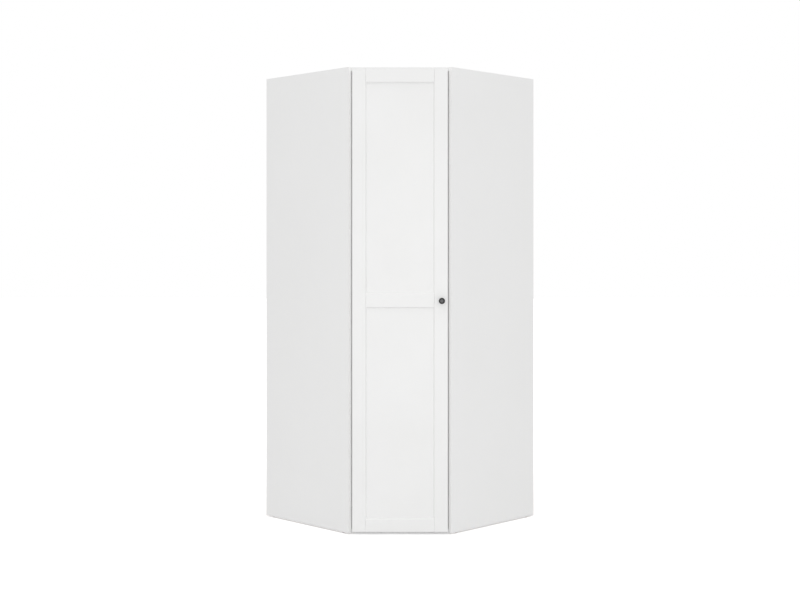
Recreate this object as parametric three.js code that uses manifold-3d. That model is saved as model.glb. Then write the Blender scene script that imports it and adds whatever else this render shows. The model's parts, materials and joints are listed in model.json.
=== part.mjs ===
// Corner wardrobe: a five-sided carcass of white boards that stands in the corner of a room,
// with one framed door across its diagonal front, hung on concealed hinges.
// Lengths are millimetres, +Z is up and the door faces -Y.
// The origin lies on the floor, under the middle of the whole piece.

import * as THREE from 'three';
import { mergeVertices } from 'three/addons/utils/BufferGeometryUtils.js';
import Module from 'manifold-3d';

const wasm = await Module();
wasm.setup();

// Carcass
const HEIGHT = 2110; // floor to the upper face of the top board
const WALL_SIDE = 912; // along each wall, from the room's corner to the side panel's outer face
const SIDE_DEPTH = 585; // side panel, from its front edge to the wall
const BOARD = 18; // coated board of the sides, top, bottom and shelf
const BACK = 3; // hardboard of the back
const REBATE_WIDTH = 9; // step behind each side panel that takes the back
const BACK_MARGIN = 2; // back stops this much short of the top and of the underside
const POST = 45; // square post in the rear corner
const POST_CHAMFER = 12; // flattened inner edge of the post

// Fits
const SEAT_GAP = 0.3; // between pieces that rest on or fit into each other
const OVERRUN = 1; // how far a cutter passes the face that it cuts

// Glides under the carcass
const GLIDE_HEIGHT = 5;
const GLIDE_RADIUS = 8.5;
const GLIDE_CHAMFER = 1.5;
const GLIDE_SETBACK = 45; // from the front edge and from the wall to the glide's middle

// Hat shelf
const HAT_SPACE = 324; // clear height between the shelf and the top board
const SHELF_SETBACK = 45; // shelf's front edge behind the other boards' front edges
const SHELF_PIN_RADIUS = 2.4;
const SHELF_PIN_HOLE_DEPTH = 10;
const SHELF_PIN_PEG = 9; // how far the peg reaches under the shelf
const SHELF_PIN_PEG_RADIUS = 3.5;
const SHELF_PIN_INSET = 90; // from the front edge and from the wall
const HOLE_PITCH = 32; // spacing of the adjusting holes
const HOLES_EACH_WAY = 2; // adjusting holes above and below the pin in use
const CLEAT = [45, 20, 30]; // wooden cleat on the post: along, out, high

// Clothes rail
const RAIL_HEIGHT = 30; // oval steel tube
const RAIL_THICKNESS = 15;
const RAIL_WALL = 1.2;
const RAIL_LENGTH = 860;
const RAIL_SETBACK = 400; // rail's middle behind the line of the front edges
const RAIL_DROP = 42; // rail's middle under the shelf
const HANGER_INSET = 110; // hanger's middle from the rail's end
const HANGER_WIDTH = 18;
const HANGER_METAL = 2.5;
const HANGER_FLANGE = 44; // length of the flange that is screwed to the shelf

// Door
const DOOR_SIDE_REVEAL = 2.5; // beside the leaf, to the front edge of each side panel
const DOOR_TOP_REVEAL = 12; // top of the leaf under the top of the carcass
const DOOR_BOTTOM_REVEAL = 13; // bottom of the leaf over the floor
const DOOR_THICKNESS = 18;
const DOOR_BACK_GAP = 2; // between the leaf and the front edges of the top and bottom boards
const STILE = 60; // flat face of each stile
const END_RAIL = 56; // flat face of the top and bottom rails
const MID_RAIL = 60; // flat face of the middle rail
const MID_RAIL_HEIGHT = 1057; // middle of the middle rail over the floor
const PANEL_THICKNESS = 6;
const PANEL_RECESS = 7; // panel's face behind the frame's face
const PANEL_BEVEL = 5; // slope from the frame's face down to the panel, seen from the front
const TONGUE = 8; // how far panels and rails reach into the grooves
const LEAF_CHAMFER = 1; // round the leaf's front face
const JOINT_CHAMFER = 0.9; // rail's end slopes back this far, which leaves a V groove at the stile
const JOINT_DEPTH = 1.5; // depth of that groove

// Knob and its screw
const KNOB_INSET = 28; // knob's middle from the leaf's free edge
const KNOB_DROP = 2; // knob's middle under the middle rail's middle
const KNOB_RADIUS = 14;
const KNOB_PROJECTION = 25;
const KNOB_FOOT_RADIUS = 8;
const KNOB_FOOT = 2;
const KNOB_NECK_RADIUS = 5.5;
const KNOB_HEAD = 9; // thickness of the head
const KNOB_RIM = 2.5; // width of the rim round the dished face
const KNOB_DISH = 2; // depth of the dished face
const KNOB_EDGE = 1.5; // rounding of the rim
const KNOB_BORE_DEPTH = 14;
const SCREW_RADIUS = 2;
const SCREW_REACH = 11; // length of the screw inside the knob
const SCREW_HEAD_RADIUS = 4.5;
const SCREW_HEAD = 2.4;

// Bumpers between the leaf and the boards' front edges
const BUMPER_RADIUS = 2.8;
const BUMPER_INSET = 30; // from the leaf's free edge

// Concealed hinges
const HINGES = 4;
const HINGE_END = 100; // outer hinges' middle from the ends of the leaf
const CUP_RADIUS = 17.5;
const CUP_DEPTH = 12;
const CUP_WALL = 1;
const CUP_EDGE = 5; // wood left between the cup's hole and the leaf's edge
const CUP_FLANGE = 1;
const CUP_FLANGE_HALF = 29; // half the height of the flange's two ears
const CUP_EAR_OFFSET = 5.5; // ears' middle beside the cup's middle
const CUP_EAR_WIDTH = 13;
const NOSE_INSET = 44; // nose pin from the leaf's left edge, along the front
const NOSE_BEHIND = 7.5; // nose pin behind the leaf's back
const LINK_EYE_INSET = 9.5; // link's end in the cup, from the leaf's left edge
const LINK_EYE_SUNK = 5.8; // link's end in the cup, in front of the leaf's back
const LINK_KNEE = [8.6, -1.3]; // bend of the link: from its end, along and inward
const LINK_METAL = 2;
const LINK_WIDTH = 10;
const LINK_EYE_RADIUS = 1.7;
const LINK_BOSS_RADIUS = 3.5;
const NOSE_PIN_RADIUS = 1.6;
const ARM_WIDTH = 16;
const ARM_METAL = 1.5;
const ARM_CHANNEL = 4.6; // from the nose pin up to the arm's web
const ARM_CHEEK = 7; // height of the arm's cheeks over the mounting plate
const ARM_BEND = 10; // arm turns towards the cup this far behind the front edge
const PLATE_LINE = 37; // mounting plate's screws behind the panel's front edge
const PLATE_WING = 2.5;
const PLATE_WING_WIDTH = 20;
const PLATE_WING_HEIGHT = 50;
const PLATE_BODY = 10; // height of the raised middle over the panel
const PLATE_BODY_LENGTH = 36;
const PLATE_BODY_WIDTH = 11;

// Cam fittings that draw the top and bottom boards to the sides
const CAM_RADIUS = 7.5;
const CAM_DEPTH = 12.5;
const CAM_FROM_SIDE = 34; // cam's middle from the side panel
const CAM_INSET = 105; // from the front edge and from the wall
const CAM_SLOT = [9, 1.8, 3]; // driver slot: length, width, depth

// Steel angles that hold the wardrobe to the walls against tipping
const BRACKET_LEG = 40;
const BRACKET_METAL = 2;
const BRACKET_WIDTH = 20;
const BRACKET_HOLE_RADIUS = 2.75;

// Facets
const ROUND = 24;
const SMALL_ROUND = 12;
const KNOB_STEPS = 4;

// Worked-out sizes
const DIAGONAL = Math.SQRT1_2;
const FRONT_WIDTH = (WALL_SIDE - SIDE_DEPTH) / DIAGONAL; // between the outer front corners
const FRONT_LINE = BOARD * DIAGONAL; // inner front corners behind the outer front corners
const CORNER_DEPTH = (WALL_SIDE + SIDE_DEPTH) * DIAGONAL; // room's corner behind the front corners
const BOARD_TOP_UNDERSIDE = HEIGHT - BOARD;
const BOARD_BOTTOM_TOP = GLIDE_HEIGHT + BOARD;
const SHELF_UNDERSIDE = BOARD_TOP_UNDERSIDE - HAT_SPACE - BOARD;
const LEAF_LEFT = FRONT_LINE + DOOR_SIDE_REVEAL;
const LEAF_RIGHT = FRONT_WIDTH - LEAF_LEFT;
const LEAF_BACK = FRONT_LINE - DOOR_BACK_GAP;
const LEAF_FRONT = LEAF_BACK - DOOR_THICKNESS;
const LEAF_BOTTOM = DOOR_BOTTOM_REVEAL;
const LEAF_TOP = HEIGHT - DOOR_TOP_REVEAL;
const PANEL_FRONT = LEAF_FRONT + PANEL_RECESS;
const PANEL_BACK = PANEL_FRONT + PANEL_THICKNESS;
const BEVEL_PER_DEPTH = PANEL_BEVEL / PANEL_RECESS;
const STILE_INNER_LEFT = LEAF_LEFT + STILE + PANEL_BEVEL;
const STILE_INNER_RIGHT = LEAF_RIGHT - STILE - PANEL_BEVEL;
const MID_RAIL_HALF = MID_RAIL / 2 + PANEL_BEVEL;
const OPENINGS = [
  [LEAF_BOTTOM + END_RAIL + PANEL_BEVEL, MID_RAIL_HEIGHT - MID_RAIL_HALF],
  [MID_RAIL_HEIGHT + MID_RAIL_HALF, LEAF_TOP - END_RAIL - PANEL_BEVEL],
];
const LEAF_DEEP = [LEAF_FRONT, LEAF_BACK];
const LEAF_HIGH = [LEAF_BOTTOM, LEAF_TOP];
const CUP_ALONG = LEAF_LEFT + CUP_EDGE + CUP_RADIUS;
const KNOB_ALONG = LEAF_RIGHT - KNOB_INSET;
const KNOB_AXIS = MID_RAIL_HEIGHT - KNOB_DROP;
const KNOB_TIP = LEAF_FRONT - SEAT_GAP - KNOB_PROJECTION;
const HINGE_PITCH = (LEAF_TOP - LEAF_BOTTOM - 2 * HINGE_END) / (HINGES - 1);
const HINGE_HEIGHTS = Array.from({ length: HINGES }, (_, i) => LEAF_BOTTOM + HINGE_END + i * HINGE_PITCH);

const MATERIALS = {
  board: new THREE.MeshStandardMaterial({ color: 0xf4f4f2, roughness: 0.45, metalness: 0 }),
  foil: new THREE.MeshStandardMaterial({ color: 0xf7f7f5, roughness: 0.4, metalness: 0 }),
  hardboard: new THREE.MeshStandardMaterial({ color: 0xeeeeea, roughness: 0.6, metalness: 0 }),
  pine: new THREE.MeshStandardMaterial({ color: 0xd8c19a, roughness: 0.7, metalness: 0 }),
  black: new THREE.MeshStandardMaterial({ color: 0x1c1c1d, roughness: 0.45, metalness: 0.3 }),
  steel: new THREE.MeshStandardMaterial({ color: 0xc4c6c8, roughness: 0.3, metalness: 1 }),
  chrome: new THREE.MeshStandardMaterial({ color: 0xd4d6d8, roughness: 0.15, metalness: 1 }),
  plastic: new THREE.MeshStandardMaterial({ color: 0xe9e9e6, roughness: 0.5, metalness: 0 }),
  rubber: new THREE.MeshStandardMaterial({ color: 0xdcdedd, roughness: 0.6, metalness: 0 }),
};

// Solids and meshes

function boxBetween([x0, x1], [y0, y1], [z0, z1]) {
  const box = new THREE.BoxGeometry(x1 - x0, y1 - y0, z1 - z0);
  return box.translate((x0 + x1) / 2, (y0 + y1) / 2, (z0 + z1) / 2);
}

// A cylinder along one axis, with its middle line at the two other coordinates in x, y, z order
function drum(axis, radius, [low, high], [a, b], sides = ROUND) {
  const cylinder = new THREE.CylinderGeometry(radius, radius, high - low, sides);
  const middle = (low + high) / 2;
  if (axis === 'x') return cylinder.rotateZ(Math.PI / 2).translate(middle, a, b);
  if (axis === 'z') return cylinder.rotateX(Math.PI / 2).translate(a, b, middle);
  return cylinder.translate(a, middle, b);
}

// A section in the x, y plane, drawn as points or as a Shape, raised between two heights
function raised(section, [low, high]) {
  const shape = Array.isArray(section) ? shapeOf(section) : section;
  const settings = { depth: high - low, bevelEnabled: false, curveSegments: SMALL_ROUND / 2 };
  return new THREE.ExtrudeGeometry(shape, settings).translate(0, 0, low);
}

// A section in the y, z plane, drawn between two places along x
function drawnAlongX(section, [low, high]) {
  const turn = new THREE.Matrix4().makeBasis(
    new THREE.Vector3(0, 1, 0),
    new THREE.Vector3(0, 0, 1),
    new THREE.Vector3(1, 0, 0),
  );
  return raised(section, [0, high - low]).applyMatrix4(turn).translate(low, 0, 0);
}

function shapeOf(points) {
  return new THREE.Shape(points.map(([x, y]) => new THREE.Vector2(x, y)));
}

function solidOf(geometry) {
  const bare = geometry.clone();
  bare.deleteAttribute('normal');
  bare.deleteAttribute('uv');
  const merged = mergeVertices(bare);
  const vertProperties = new Float32Array(merged.attributes.position.array);
  const triVerts = new Uint32Array(merged.index.array);
  return new wasm.Manifold(new wasm.Mesh({ numProp: 3, vertProperties, triVerts }));
}

function geometryOf(solid) {
  const { vertProperties, triVerts } = solid.getMesh();
  const geometry = new THREE.BufferGeometry();
  geometry.setAttribute('position', new THREE.BufferAttribute(vertProperties, 3));
  geometry.setIndex(new THREE.BufferAttribute(triVerts, 1));
  geometry.computeVertexNormals();
  return geometry;
}

function cut(solid, ...cutters) {
  return cutters.reduce((rest, cutter) => rest.subtract(solidOf(cutter)), solid);
}

function joined(first, ...others) {
  return others.reduce((sum, other) => sum.add(solidOf(other)), solidOf(first));
}

function addPiece(group, name, shape, material) {
  const geometry = shape.isBufferGeometry ? shape : geometryOf(shape);
  const mesh = new THREE.Mesh(geometry, material);
  mesh.name = name;
  group.add(mesh);
  return mesh;
}

// Groups: the front group has x along the front and y inward, from the left outer front corner.
// Each wing is turned by 45 degrees at its own front corner, so that its axes follow the walls.

const wardrobe = new THREE.Group();
const front = new THREE.Group();
front.position.set(-FRONT_WIDTH / 2, -(CORNER_DEPTH + KNOB_TIP) / 2, 0);
wardrobe.add(front);

const wings = { left: new THREE.Group(), right: new THREE.Group() };
for (const wing of Object.values(wings)) {
  wing.rotation.z = Math.PI / 4;
  front.add(wing);
}
wings.right.position.set(FRONT_WIDTH, 0, 0);

const SIDES = ['left', 'right'];

// In a wing, "across" runs inward from the side panel's outer face and "deep" runs to the wall
function wingBox(side, across, deep, high) {
  return side === 'left' ? boxBetween(across, deep, high) : boxBetween(deep, across, high);
}

function wingDrum(side, radius, across, [deep, high], sides = SMALL_ROUND) {
  return drum(side === 'left' ? 'x' : 'y', radius, across, [deep, high], sides);
}

// From the front group's axes to the left wing's axes
function toLeftWing([along, inward]) {
  return [(along + inward) * DIAGONAL, (inward - along) * DIAGONAL];
}

// Carcass boards

const SHELF_PIN_AXIS = SHELF_UNDERSIDE - SEAT_GAP - SHELF_PIN_PEG_RADIUS;
const SHELF_PIN_PLACES = {
  front: SHELF_PIN_INSET,
  rear: SIDE_DEPTH - SHELF_PIN_INSET,
};

function sidePanel(side) {
  const panel = wingBox(side, [0, BOARD], [0, SIDE_DEPTH], [GLIDE_HEIGHT, HEIGHT]);
  const rebate = wingBox(
    side,
    [BOARD - REBATE_WIDTH, BOARD + OVERRUN],
    [SIDE_DEPTH - BACK - SEAT_GAP, SIDE_DEPTH + OVERRUN],
    [GLIDE_HEIGHT - OVERRUN, HEIGHT + OVERRUN],
  );
  const holes = [];
  for (const deep of Object.values(SHELF_PIN_PLACES)) {
    for (let step = -HOLES_EACH_WAY; step <= HOLES_EACH_WAY; step += 1) {
      const reach = [BOARD - SHELF_PIN_HOLE_DEPTH, BOARD + OVERRUN];
      const height = SHELF_PIN_AXIS + step * HOLE_PITCH;
      holes.push(wingDrum(side, SHELF_PIN_RADIUS + SEAT_GAP, reach, [deep, height]));
    }
  }
  return cut(solidOf(panel), rebate, ...holes);
}

// A five-sided outline inside the carcass. The front edge lies at `frontEdge`,
// and `postNotch` leaves room for the rear post where the board passes it.
function boardOutline(frontEdge, postNotch) {
  const sideLine = BOARD + SEAT_GAP;
  const wallLine = SIDE_DEPTH - BACK - SEAT_GAP;
  const frontLeft = [sideLine / DIAGONAL - frontEdge, frontEdge];
  const rearLeft = [(sideLine - wallLine) * DIAGONAL, (sideLine + wallLine) * DIAGONAL];
  const cornerReach = FRONT_WIDTH / 2 + wallLine / DIAGONAL;
  const notch = postNotch * DIAGONAL;
  const corner = postNotch
    ? [
        [FRONT_WIDTH / 2 + notch, cornerReach - notch],
        [FRONT_WIDTH / 2, cornerReach - 2 * notch],
        [FRONT_WIDTH / 2 - notch, cornerReach - notch],
      ]
    : [[FRONT_WIDTH / 2, cornerReach]];
  const mirrored = ([along, inward]) => [FRONT_WIDTH - along, inward];
  return [frontLeft, mirrored(frontLeft), mirrored(rearLeft), ...corner, rearLeft];
}

const CAM_PLACES = {
  front: CAM_INSET,
  rear: SIDE_DEPTH - CAM_INSET,
};

// Middle of a cam in the front group's axes
function camCentre(side, deep) {
  const across = BOARD + SEAT_GAP + CAM_FROM_SIDE;
  const along = (across - deep) * DIAGONAL;
  const inward = (across + deep) * DIAGONAL;
  return side === 'left' ? [along, inward] : [FRONT_WIDTH - along, inward];
}

function camHoles([low, high]) {
  return SIDES.flatMap((side) =>
    Object.values(CAM_PLACES).map((deep) =>
      drum('z', CAM_RADIUS + SEAT_GAP, [low, high], camCentre(side, deep)),
    ),
  );
}

function fullBoard(underside) {
  const plate = raised(boardOutline(FRONT_LINE, 0), [underside, underside + BOARD]);
  const holes = camHoles([underside - OVERRUN, underside + CAM_DEPTH + SEAT_GAP]);
  return cut(solidOf(plate), ...holes);
}

function camLock(side, deep, underside) {
  const centre = camCentre(side, deep);
  const [length, width, depth] = CAM_SLOT;
  const body = drum('z', CAM_RADIUS, [underside, underside + CAM_DEPTH], centre);
  const slot = boxBetween(
    [centre[0] - length / 2, centre[0] + length / 2],
    [centre[1] - width / 2, centre[1] + width / 2],
    [underside - OVERRUN, underside + depth],
  );
  return cut(solidOf(body), slot);
}

function hatShelf() {
  const outline = boardOutline(FRONT_LINE + SHELF_SETBACK, POST + SEAT_GAP);
  return raised(outline, [SHELF_UNDERSIDE, SHELF_UNDERSIDE + BOARD]);
}

for (const side of SIDES) addPiece(wings[side], `side_panel_${side}`, sidePanel(side), MATERIALS.board);

const FULL_BOARDS = { top: BOARD_TOP_UNDERSIDE, bottom: GLIDE_HEIGHT };
for (const [name, underside] of Object.entries(FULL_BOARDS)) {
  addPiece(front, `${name}_board`, fullBoard(underside), MATERIALS.board);
  for (const side of SIDES) {
    for (const [place, deep] of Object.entries(CAM_PLACES)) {
      const lock = camLock(side, deep, underside);
      addPiece(front, `cam_lock_${name}_${side}_${place}`, lock, MATERIALS.steel);
    }
  }
}
addPiece(front, 'hat_shelf', hatShelf(), MATERIALS.board);

// Back: the left sheet runs into the room's corner and the right sheet stops against it

const BACK_START = BOARD - REBATE_WIDTH + SEAT_GAP;
const BACK_ENDS = { left: WALL_SIDE, right: WALL_SIDE - BACK - SEAT_GAP };
for (const side of SIDES) {
  const sheet = wingBox(
    side,
    [BACK_START, BACK_ENDS[side]],
    [SIDE_DEPTH - BACK, SIDE_DEPTH],
    [GLIDE_HEIGHT + BACK_MARGIN, HEIGHT - BACK_MARGIN],
  );
  addPiece(wings[side], `back_panel_${side}`, sheet, MATERIALS.hardboard);
}

// Rear post, in the left wing's axes

const POST_FAR_ACROSS = WALL_SIDE - BACK - SEAT_GAP;
const POST_NEAR_ACROSS = POST_FAR_ACROSS - POST;
const POST_FAR_DEEP = SIDE_DEPTH - BACK - SEAT_GAP;
const POST_NEAR_DEEP = POST_FAR_DEEP - POST;

function cornerPost() {
  const section = [
    [POST_NEAR_ACROSS + POST_CHAMFER, POST_NEAR_DEEP],
    [POST_FAR_ACROSS, POST_NEAR_DEEP],
    [POST_FAR_ACROSS, POST_FAR_DEEP],
    [POST_NEAR_ACROSS, POST_FAR_DEEP],
    [POST_NEAR_ACROSS, POST_NEAR_DEEP + POST_CHAMFER],
  ];
  return raised(section, [BOARD_BOTTOM_TOP + SEAT_GAP, BOARD_TOP_UNDERSIDE - SEAT_GAP]);
}

function shelfCleat() {
  const [length, width, height] = CLEAT;
  const near = POST_NEAR_ACROSS - SEAT_GAP;
  const top = SHELF_UNDERSIDE - SEAT_GAP;
  return boxBetween([near - width, near], [POST_FAR_DEEP - length, POST_FAR_DEEP], [top - height, top]);
}

addPiece(wings.left, 'corner_post', cornerPost(), MATERIALS.pine);
addPiece(wings.left, 'shelf_cleat', shelfCleat(), MATERIALS.pine);

// Shelf pins: a stem in the side panel and a thicker peg under the shelf

for (const side of SIDES) {
  for (const [place, deep] of Object.entries(SHELF_PIN_PLACES)) {
    const axis = [deep, SHELF_PIN_AXIS];
    const pegFoot = BOARD + SEAT_GAP;
    const pegEnd = pegFoot + SHELF_PIN_PEG;
    const stemFoot = BOARD - SHELF_PIN_HOLE_DEPTH + SEAT_GAP;
    const pin = joined(
      wingDrum(side, SHELF_PIN_RADIUS, [stemFoot, pegEnd], axis),
      wingDrum(side, SHELF_PIN_PEG_RADIUS, [pegFoot, pegEnd], axis),
    );
    addPiece(wings[side], `shelf_pin_${side}_${place}`, pin, MATERIALS.steel);
  }
}

// Glides: flat discs with a chamfered lower edge

function glide([x, y]) {
  const profile = [
    [0, 0],
    [GLIDE_RADIUS - GLIDE_CHAMFER, 0],
    [GLIDE_RADIUS, GLIDE_CHAMFER],
    [GLIDE_RADIUS, GLIDE_HEIGHT - SEAT_GAP],
    [0, GLIDE_HEIGHT - SEAT_GAP],
  ];
  const disc = new THREE.LatheGeometry(profile.map(([r, h]) => new THREE.Vector2(r, h)), ROUND);
  return disc.rotateX(Math.PI / 2).translate(x, y, 0);
}

for (const side of SIDES) {
  const places = { front: GLIDE_SETBACK, rear: SIDE_DEPTH - GLIDE_SETBACK };
  for (const [place, deep] of Object.entries(places)) {
    const centre = side === 'left' ? [BOARD / 2, deep] : [deep, BOARD / 2];
    addPiece(wings[side], `glide_${side}_${place}`, glide(centre), MATERIALS.plastic);
  }
}
const MIDDLE_GLIDES = {
  front: FRONT_LINE + GLIDE_SETBACK,
  corner: CORNER_DEPTH - GLIDE_SETBACK / DIAGONAL,
};
for (const [place, inward] of Object.entries(MIDDLE_GLIDES)) {
  addPiece(front, `glide_middle_${place}`, glide([FRONT_WIDTH / 2, inward]), MATERIALS.plastic);
}

// Clothes rail: an oval tube on two hangers under the shelf

const RAIL_AXIS = SHELF_UNDERSIDE - RAIL_DROP;

// Upright oval in the y, z plane that follows the rail's section, grown by `extra`
function ovalPath(path, extra) {
  const radius = RAIL_THICKNESS / 2 + extra;
  const straight = (RAIL_HEIGHT - RAIL_THICKNESS) / 2;
  path.absarc(RAIL_SETBACK, RAIL_AXIS + straight, radius, 0, Math.PI, false);
  path.absarc(RAIL_SETBACK, RAIL_AXIS - straight, radius, Math.PI, 2 * Math.PI, false);
  path.closePath();
  return path;
}

function clothesRail() {
  const section = ovalPath(new THREE.Shape(), 0);
  section.holes.push(ovalPath(new THREE.Path(), -RAIL_WALL));
  const half = RAIL_LENGTH / 2;
  return drawnAlongX(section, [FRONT_WIDTH / 2 - half, FRONT_WIDTH / 2 + half]);
}

function railHanger(middle) {
  const reach = [middle - HANGER_WIDTH / 2, middle + HANGER_WIDTH / 2];
  const ring = ovalPath(new THREE.Shape(), SEAT_GAP + HANGER_METAL);
  const flangeTop = SHELF_UNDERSIDE - SEAT_GAP;
  const ringTop = RAIL_AXIS + RAIL_HEIGHT / 2 + SEAT_GAP;
  const stem = boxBetween(
    reach,
    [RAIL_SETBACK - HANGER_METAL / 2, RAIL_SETBACK + HANGER_METAL / 2],
    [ringTop + HANGER_METAL / 2, flangeTop],
  );
  const flange = boxBetween(
    reach,
    [RAIL_SETBACK - HANGER_FLANGE / 2, RAIL_SETBACK + HANGER_FLANGE / 2],
    [flangeTop - HANGER_METAL, flangeTop],
  );
  const bore = ovalPath(new THREE.Shape(), SEAT_GAP);
  const boreReach = [reach[0] - OVERRUN, reach[1] + OVERRUN];
  return cut(joined(drawnAlongX(ring, reach), stem, flange), drawnAlongX(bore, boreReach));
}

addPiece(front, 'clothes_rail', clothesRail(), MATERIALS.chrome);
const HANGER_OFFSET = RAIL_LENGTH / 2 - HANGER_INSET;
addPiece(front, 'rail_hanger_left', railHanger(FRONT_WIDTH / 2 - HANGER_OFFSET), MATERIALS.chrome);
addPiece(front, 'rail_hanger_right', railHanger(FRONT_WIDTH / 2 + HANGER_OFFSET), MATERIALS.chrome);

// Wall angles under the top board, against the back

function wallAngle(side) {
  const middle = WALL_SIDE / 2;
  const across = [middle - BRACKET_WIDTH / 2, middle + BRACKET_WIDTH / 2];
  const rear = SIDE_DEPTH - BACK - SEAT_GAP;
  const top = BOARD_TOP_UNDERSIDE - SEAT_GAP;
  const flat = wingBox(side, across, [rear - BRACKET_LEG, rear], [top - BRACKET_METAL, top]);
  const upright = wingBox(side, across, [rear - BRACKET_METAL, rear], [top - BRACKET_LEG, top]);
  const holeReach = [rear - BRACKET_METAL - OVERRUN, rear + OVERRUN];
  const holeHeight = top - BRACKET_LEG / 2;
  const wallHole =
    side === 'left'
      ? drum('y', BRACKET_HOLE_RADIUS, holeReach, [middle, holeHeight], SMALL_ROUND)
      : drum('x', BRACKET_HOLE_RADIUS, holeReach, [middle, holeHeight], SMALL_ROUND);
  return cut(joined(flat, upright), wallHole);
}

for (const side of SIDES) addPiece(wings[side], `wall_angle_${side}`, wallAngle(side), MATERIALS.steel);

// Door leaf: stiles, rails and two panels, tongued into grooves. Each stile has a bevel along its
// whole inner edge, and the rails are coped: their ends are cut to lie over that bevel.

// A block whose front rectangle is inset from its back rectangle, or the other way round
function sloped(along, high, [near, far], nearGrowth, farGrowth) {
  const rectangle = (growth) => [
    [along[0] - growth, high[0] - growth],
    [along[1] + growth, high[0] - growth],
    [along[1] + growth, high[1] + growth],
    [along[0] - growth, high[1] + growth],
  ];
  const corners = [
    ...rectangle(nearGrowth).map(([x, z]) => [x, near, z]),
    ...rectangle(farGrowth).map(([x, z]) => [x, far, z]),
  ];
  const faces = [
    [0, 1, 2],
    [0, 2, 3],
    [4, 6, 5],
    [4, 7, 6],
    [0, 4, 5],
    [0, 5, 1],
    [1, 5, 6],
    [1, 6, 2],
    [2, 6, 7],
    [2, 7, 3],
    [3, 7, 4],
    [3, 4, 0],
  ];
  const geometry = new THREE.BufferGeometry();
  geometry.setAttribute('position', new THREE.Float32BufferAttribute(corners.flat(), 3));
  geometry.setIndex(faces.flat());
  return geometry;
}

// The whole leaf's envelope, with a small chamfer round its front face
function leafEnvelope() {
  const along = [LEAF_LEFT, LEAF_RIGHT];
  const high = [LEAF_BOTTOM, LEAF_TOP];
  const chamferEnd = LEAF_FRONT + LEAF_CHAMFER;
  const face = sloped(along, high, [LEAF_FRONT, chamferEnd], -LEAF_CHAMFER, 0);
  return joined(face, boxBetween(along, [chamferEnd, LEAF_BACK], high));
}

// The sloping edge round one panel, cut from whatever frames the opening
function bevelCutter([low, high]) {
  return sloped(
    [STILE_INNER_LEFT, STILE_INNER_RIGHT],
    [low, high],
    [LEAF_FRONT - OVERRUN, PANEL_FRONT],
    PANEL_BEVEL + OVERRUN * BEVEL_PER_DEPTH,
    0,
  );
}

const LEAF_ENVELOPE = leafEnvelope();
const BEVEL_CUTTERS = OPENINGS.map(bevelCutter);
const GROOVE = [PANEL_FRONT - SEAT_GAP, PANEL_BACK + SEAT_GAP];
const GROOVE_DEPTH = TONGUE + SEAT_GAP;

const WHOLE_LEAF = [LEAF_BOTTOM - OVERRUN, LEAF_TOP + OVERRUN];

// A place beside the left joint, given as steps inward from the stile's flat and back from the face
function byLeftJoint(across, back) {
  return [LEAF_LEFT + STILE + across, LEAF_FRONT + back];
}

function mirroredAcross(section) {
  return section.map(([along, inward]) => [LEAF_LEFT + LEAF_RIGHT - along, inward]).reverse();
}

// The same cutter at both joints, from one section beside the left one
function bothJoints(section) {
  return [section, mirroredAcross(section)].map((points) => raised(points, WHOLE_LEAF));
}

const STILE_BEVELS = bothJoints([
  byLeftJoint(-OVERRUN * BEVEL_PER_DEPTH, -OVERRUN),
  byLeftJoint(PANEL_BEVEL, PANEL_RECESS),
  byLeftJoint(PANEL_BEVEL + OVERRUN, PANEL_RECESS),
  byLeftJoint(PANEL_BEVEL + OVERRUN, -OVERRUN),
]);
const COPE_TIP = SEAT_GAP + JOINT_DEPTH * BEVEL_PER_DEPTH;
const COPES = bothJoints([
  byLeftJoint(-PANEL_BEVEL, -OVERRUN),
  byLeftJoint(COPE_TIP + JOINT_CHAMFER, -OVERRUN),
  byLeftJoint(COPE_TIP + JOINT_CHAMFER, 0),
  byLeftJoint(COPE_TIP, JOINT_DEPTH),
  byLeftJoint(SEAT_GAP + PANEL_BEVEL, PANEL_RECESS),
  byLeftJoint(SEAT_GAP + PANEL_BEVEL, DOOR_THICKNESS + OVERRUN),
  byLeftJoint(-PANEL_BEVEL, DOOR_THICKNESS + OVERRUN),
]);

function framePiece(blank, ...cutters) {
  return cut(blank.intersect(LEAF_ENVELOPE), ...cutters);
}

// Drilling for the hinge cups in the left stile
function cupHoles() {
  const reach = [LEAF_BACK - CUP_DEPTH - SEAT_GAP, LEAF_BACK + OVERRUN];
  return HINGE_HEIGHTS.map((z) => drum('y', CUP_RADIUS + SEAT_GAP, reach, [CUP_ALONG, z]));
}

function knobHole() {
  const reach = [LEAF_FRONT - OVERRUN, LEAF_BACK + OVERRUN];
  return drum('y', SCREW_RADIUS + SEAT_GAP, reach, [KNOB_ALONG, KNOB_AXIS], SMALL_ROUND);
}

function leftStile() {
  const blank = boxBetween([LEAF_LEFT, STILE_INNER_LEFT], LEAF_DEEP, LEAF_HIGH);
  const groove = [STILE_INNER_LEFT - GROOVE_DEPTH, STILE_INNER_LEFT + OVERRUN];
  return framePiece(solidOf(blank), boxBetween(groove, GROOVE, WHOLE_LEAF), ...STILE_BEVELS, ...cupHoles());
}

function rightStile() {
  const blank = boxBetween([STILE_INNER_RIGHT, LEAF_RIGHT], LEAF_DEEP, LEAF_HIGH);
  const groove = [STILE_INNER_RIGHT - OVERRUN, STILE_INNER_RIGHT + GROOVE_DEPTH];
  return framePiece(solidOf(blank), boxBetween(groove, GROOVE, WHOLE_LEAF), ...STILE_BEVELS, knobHole());
}

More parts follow.
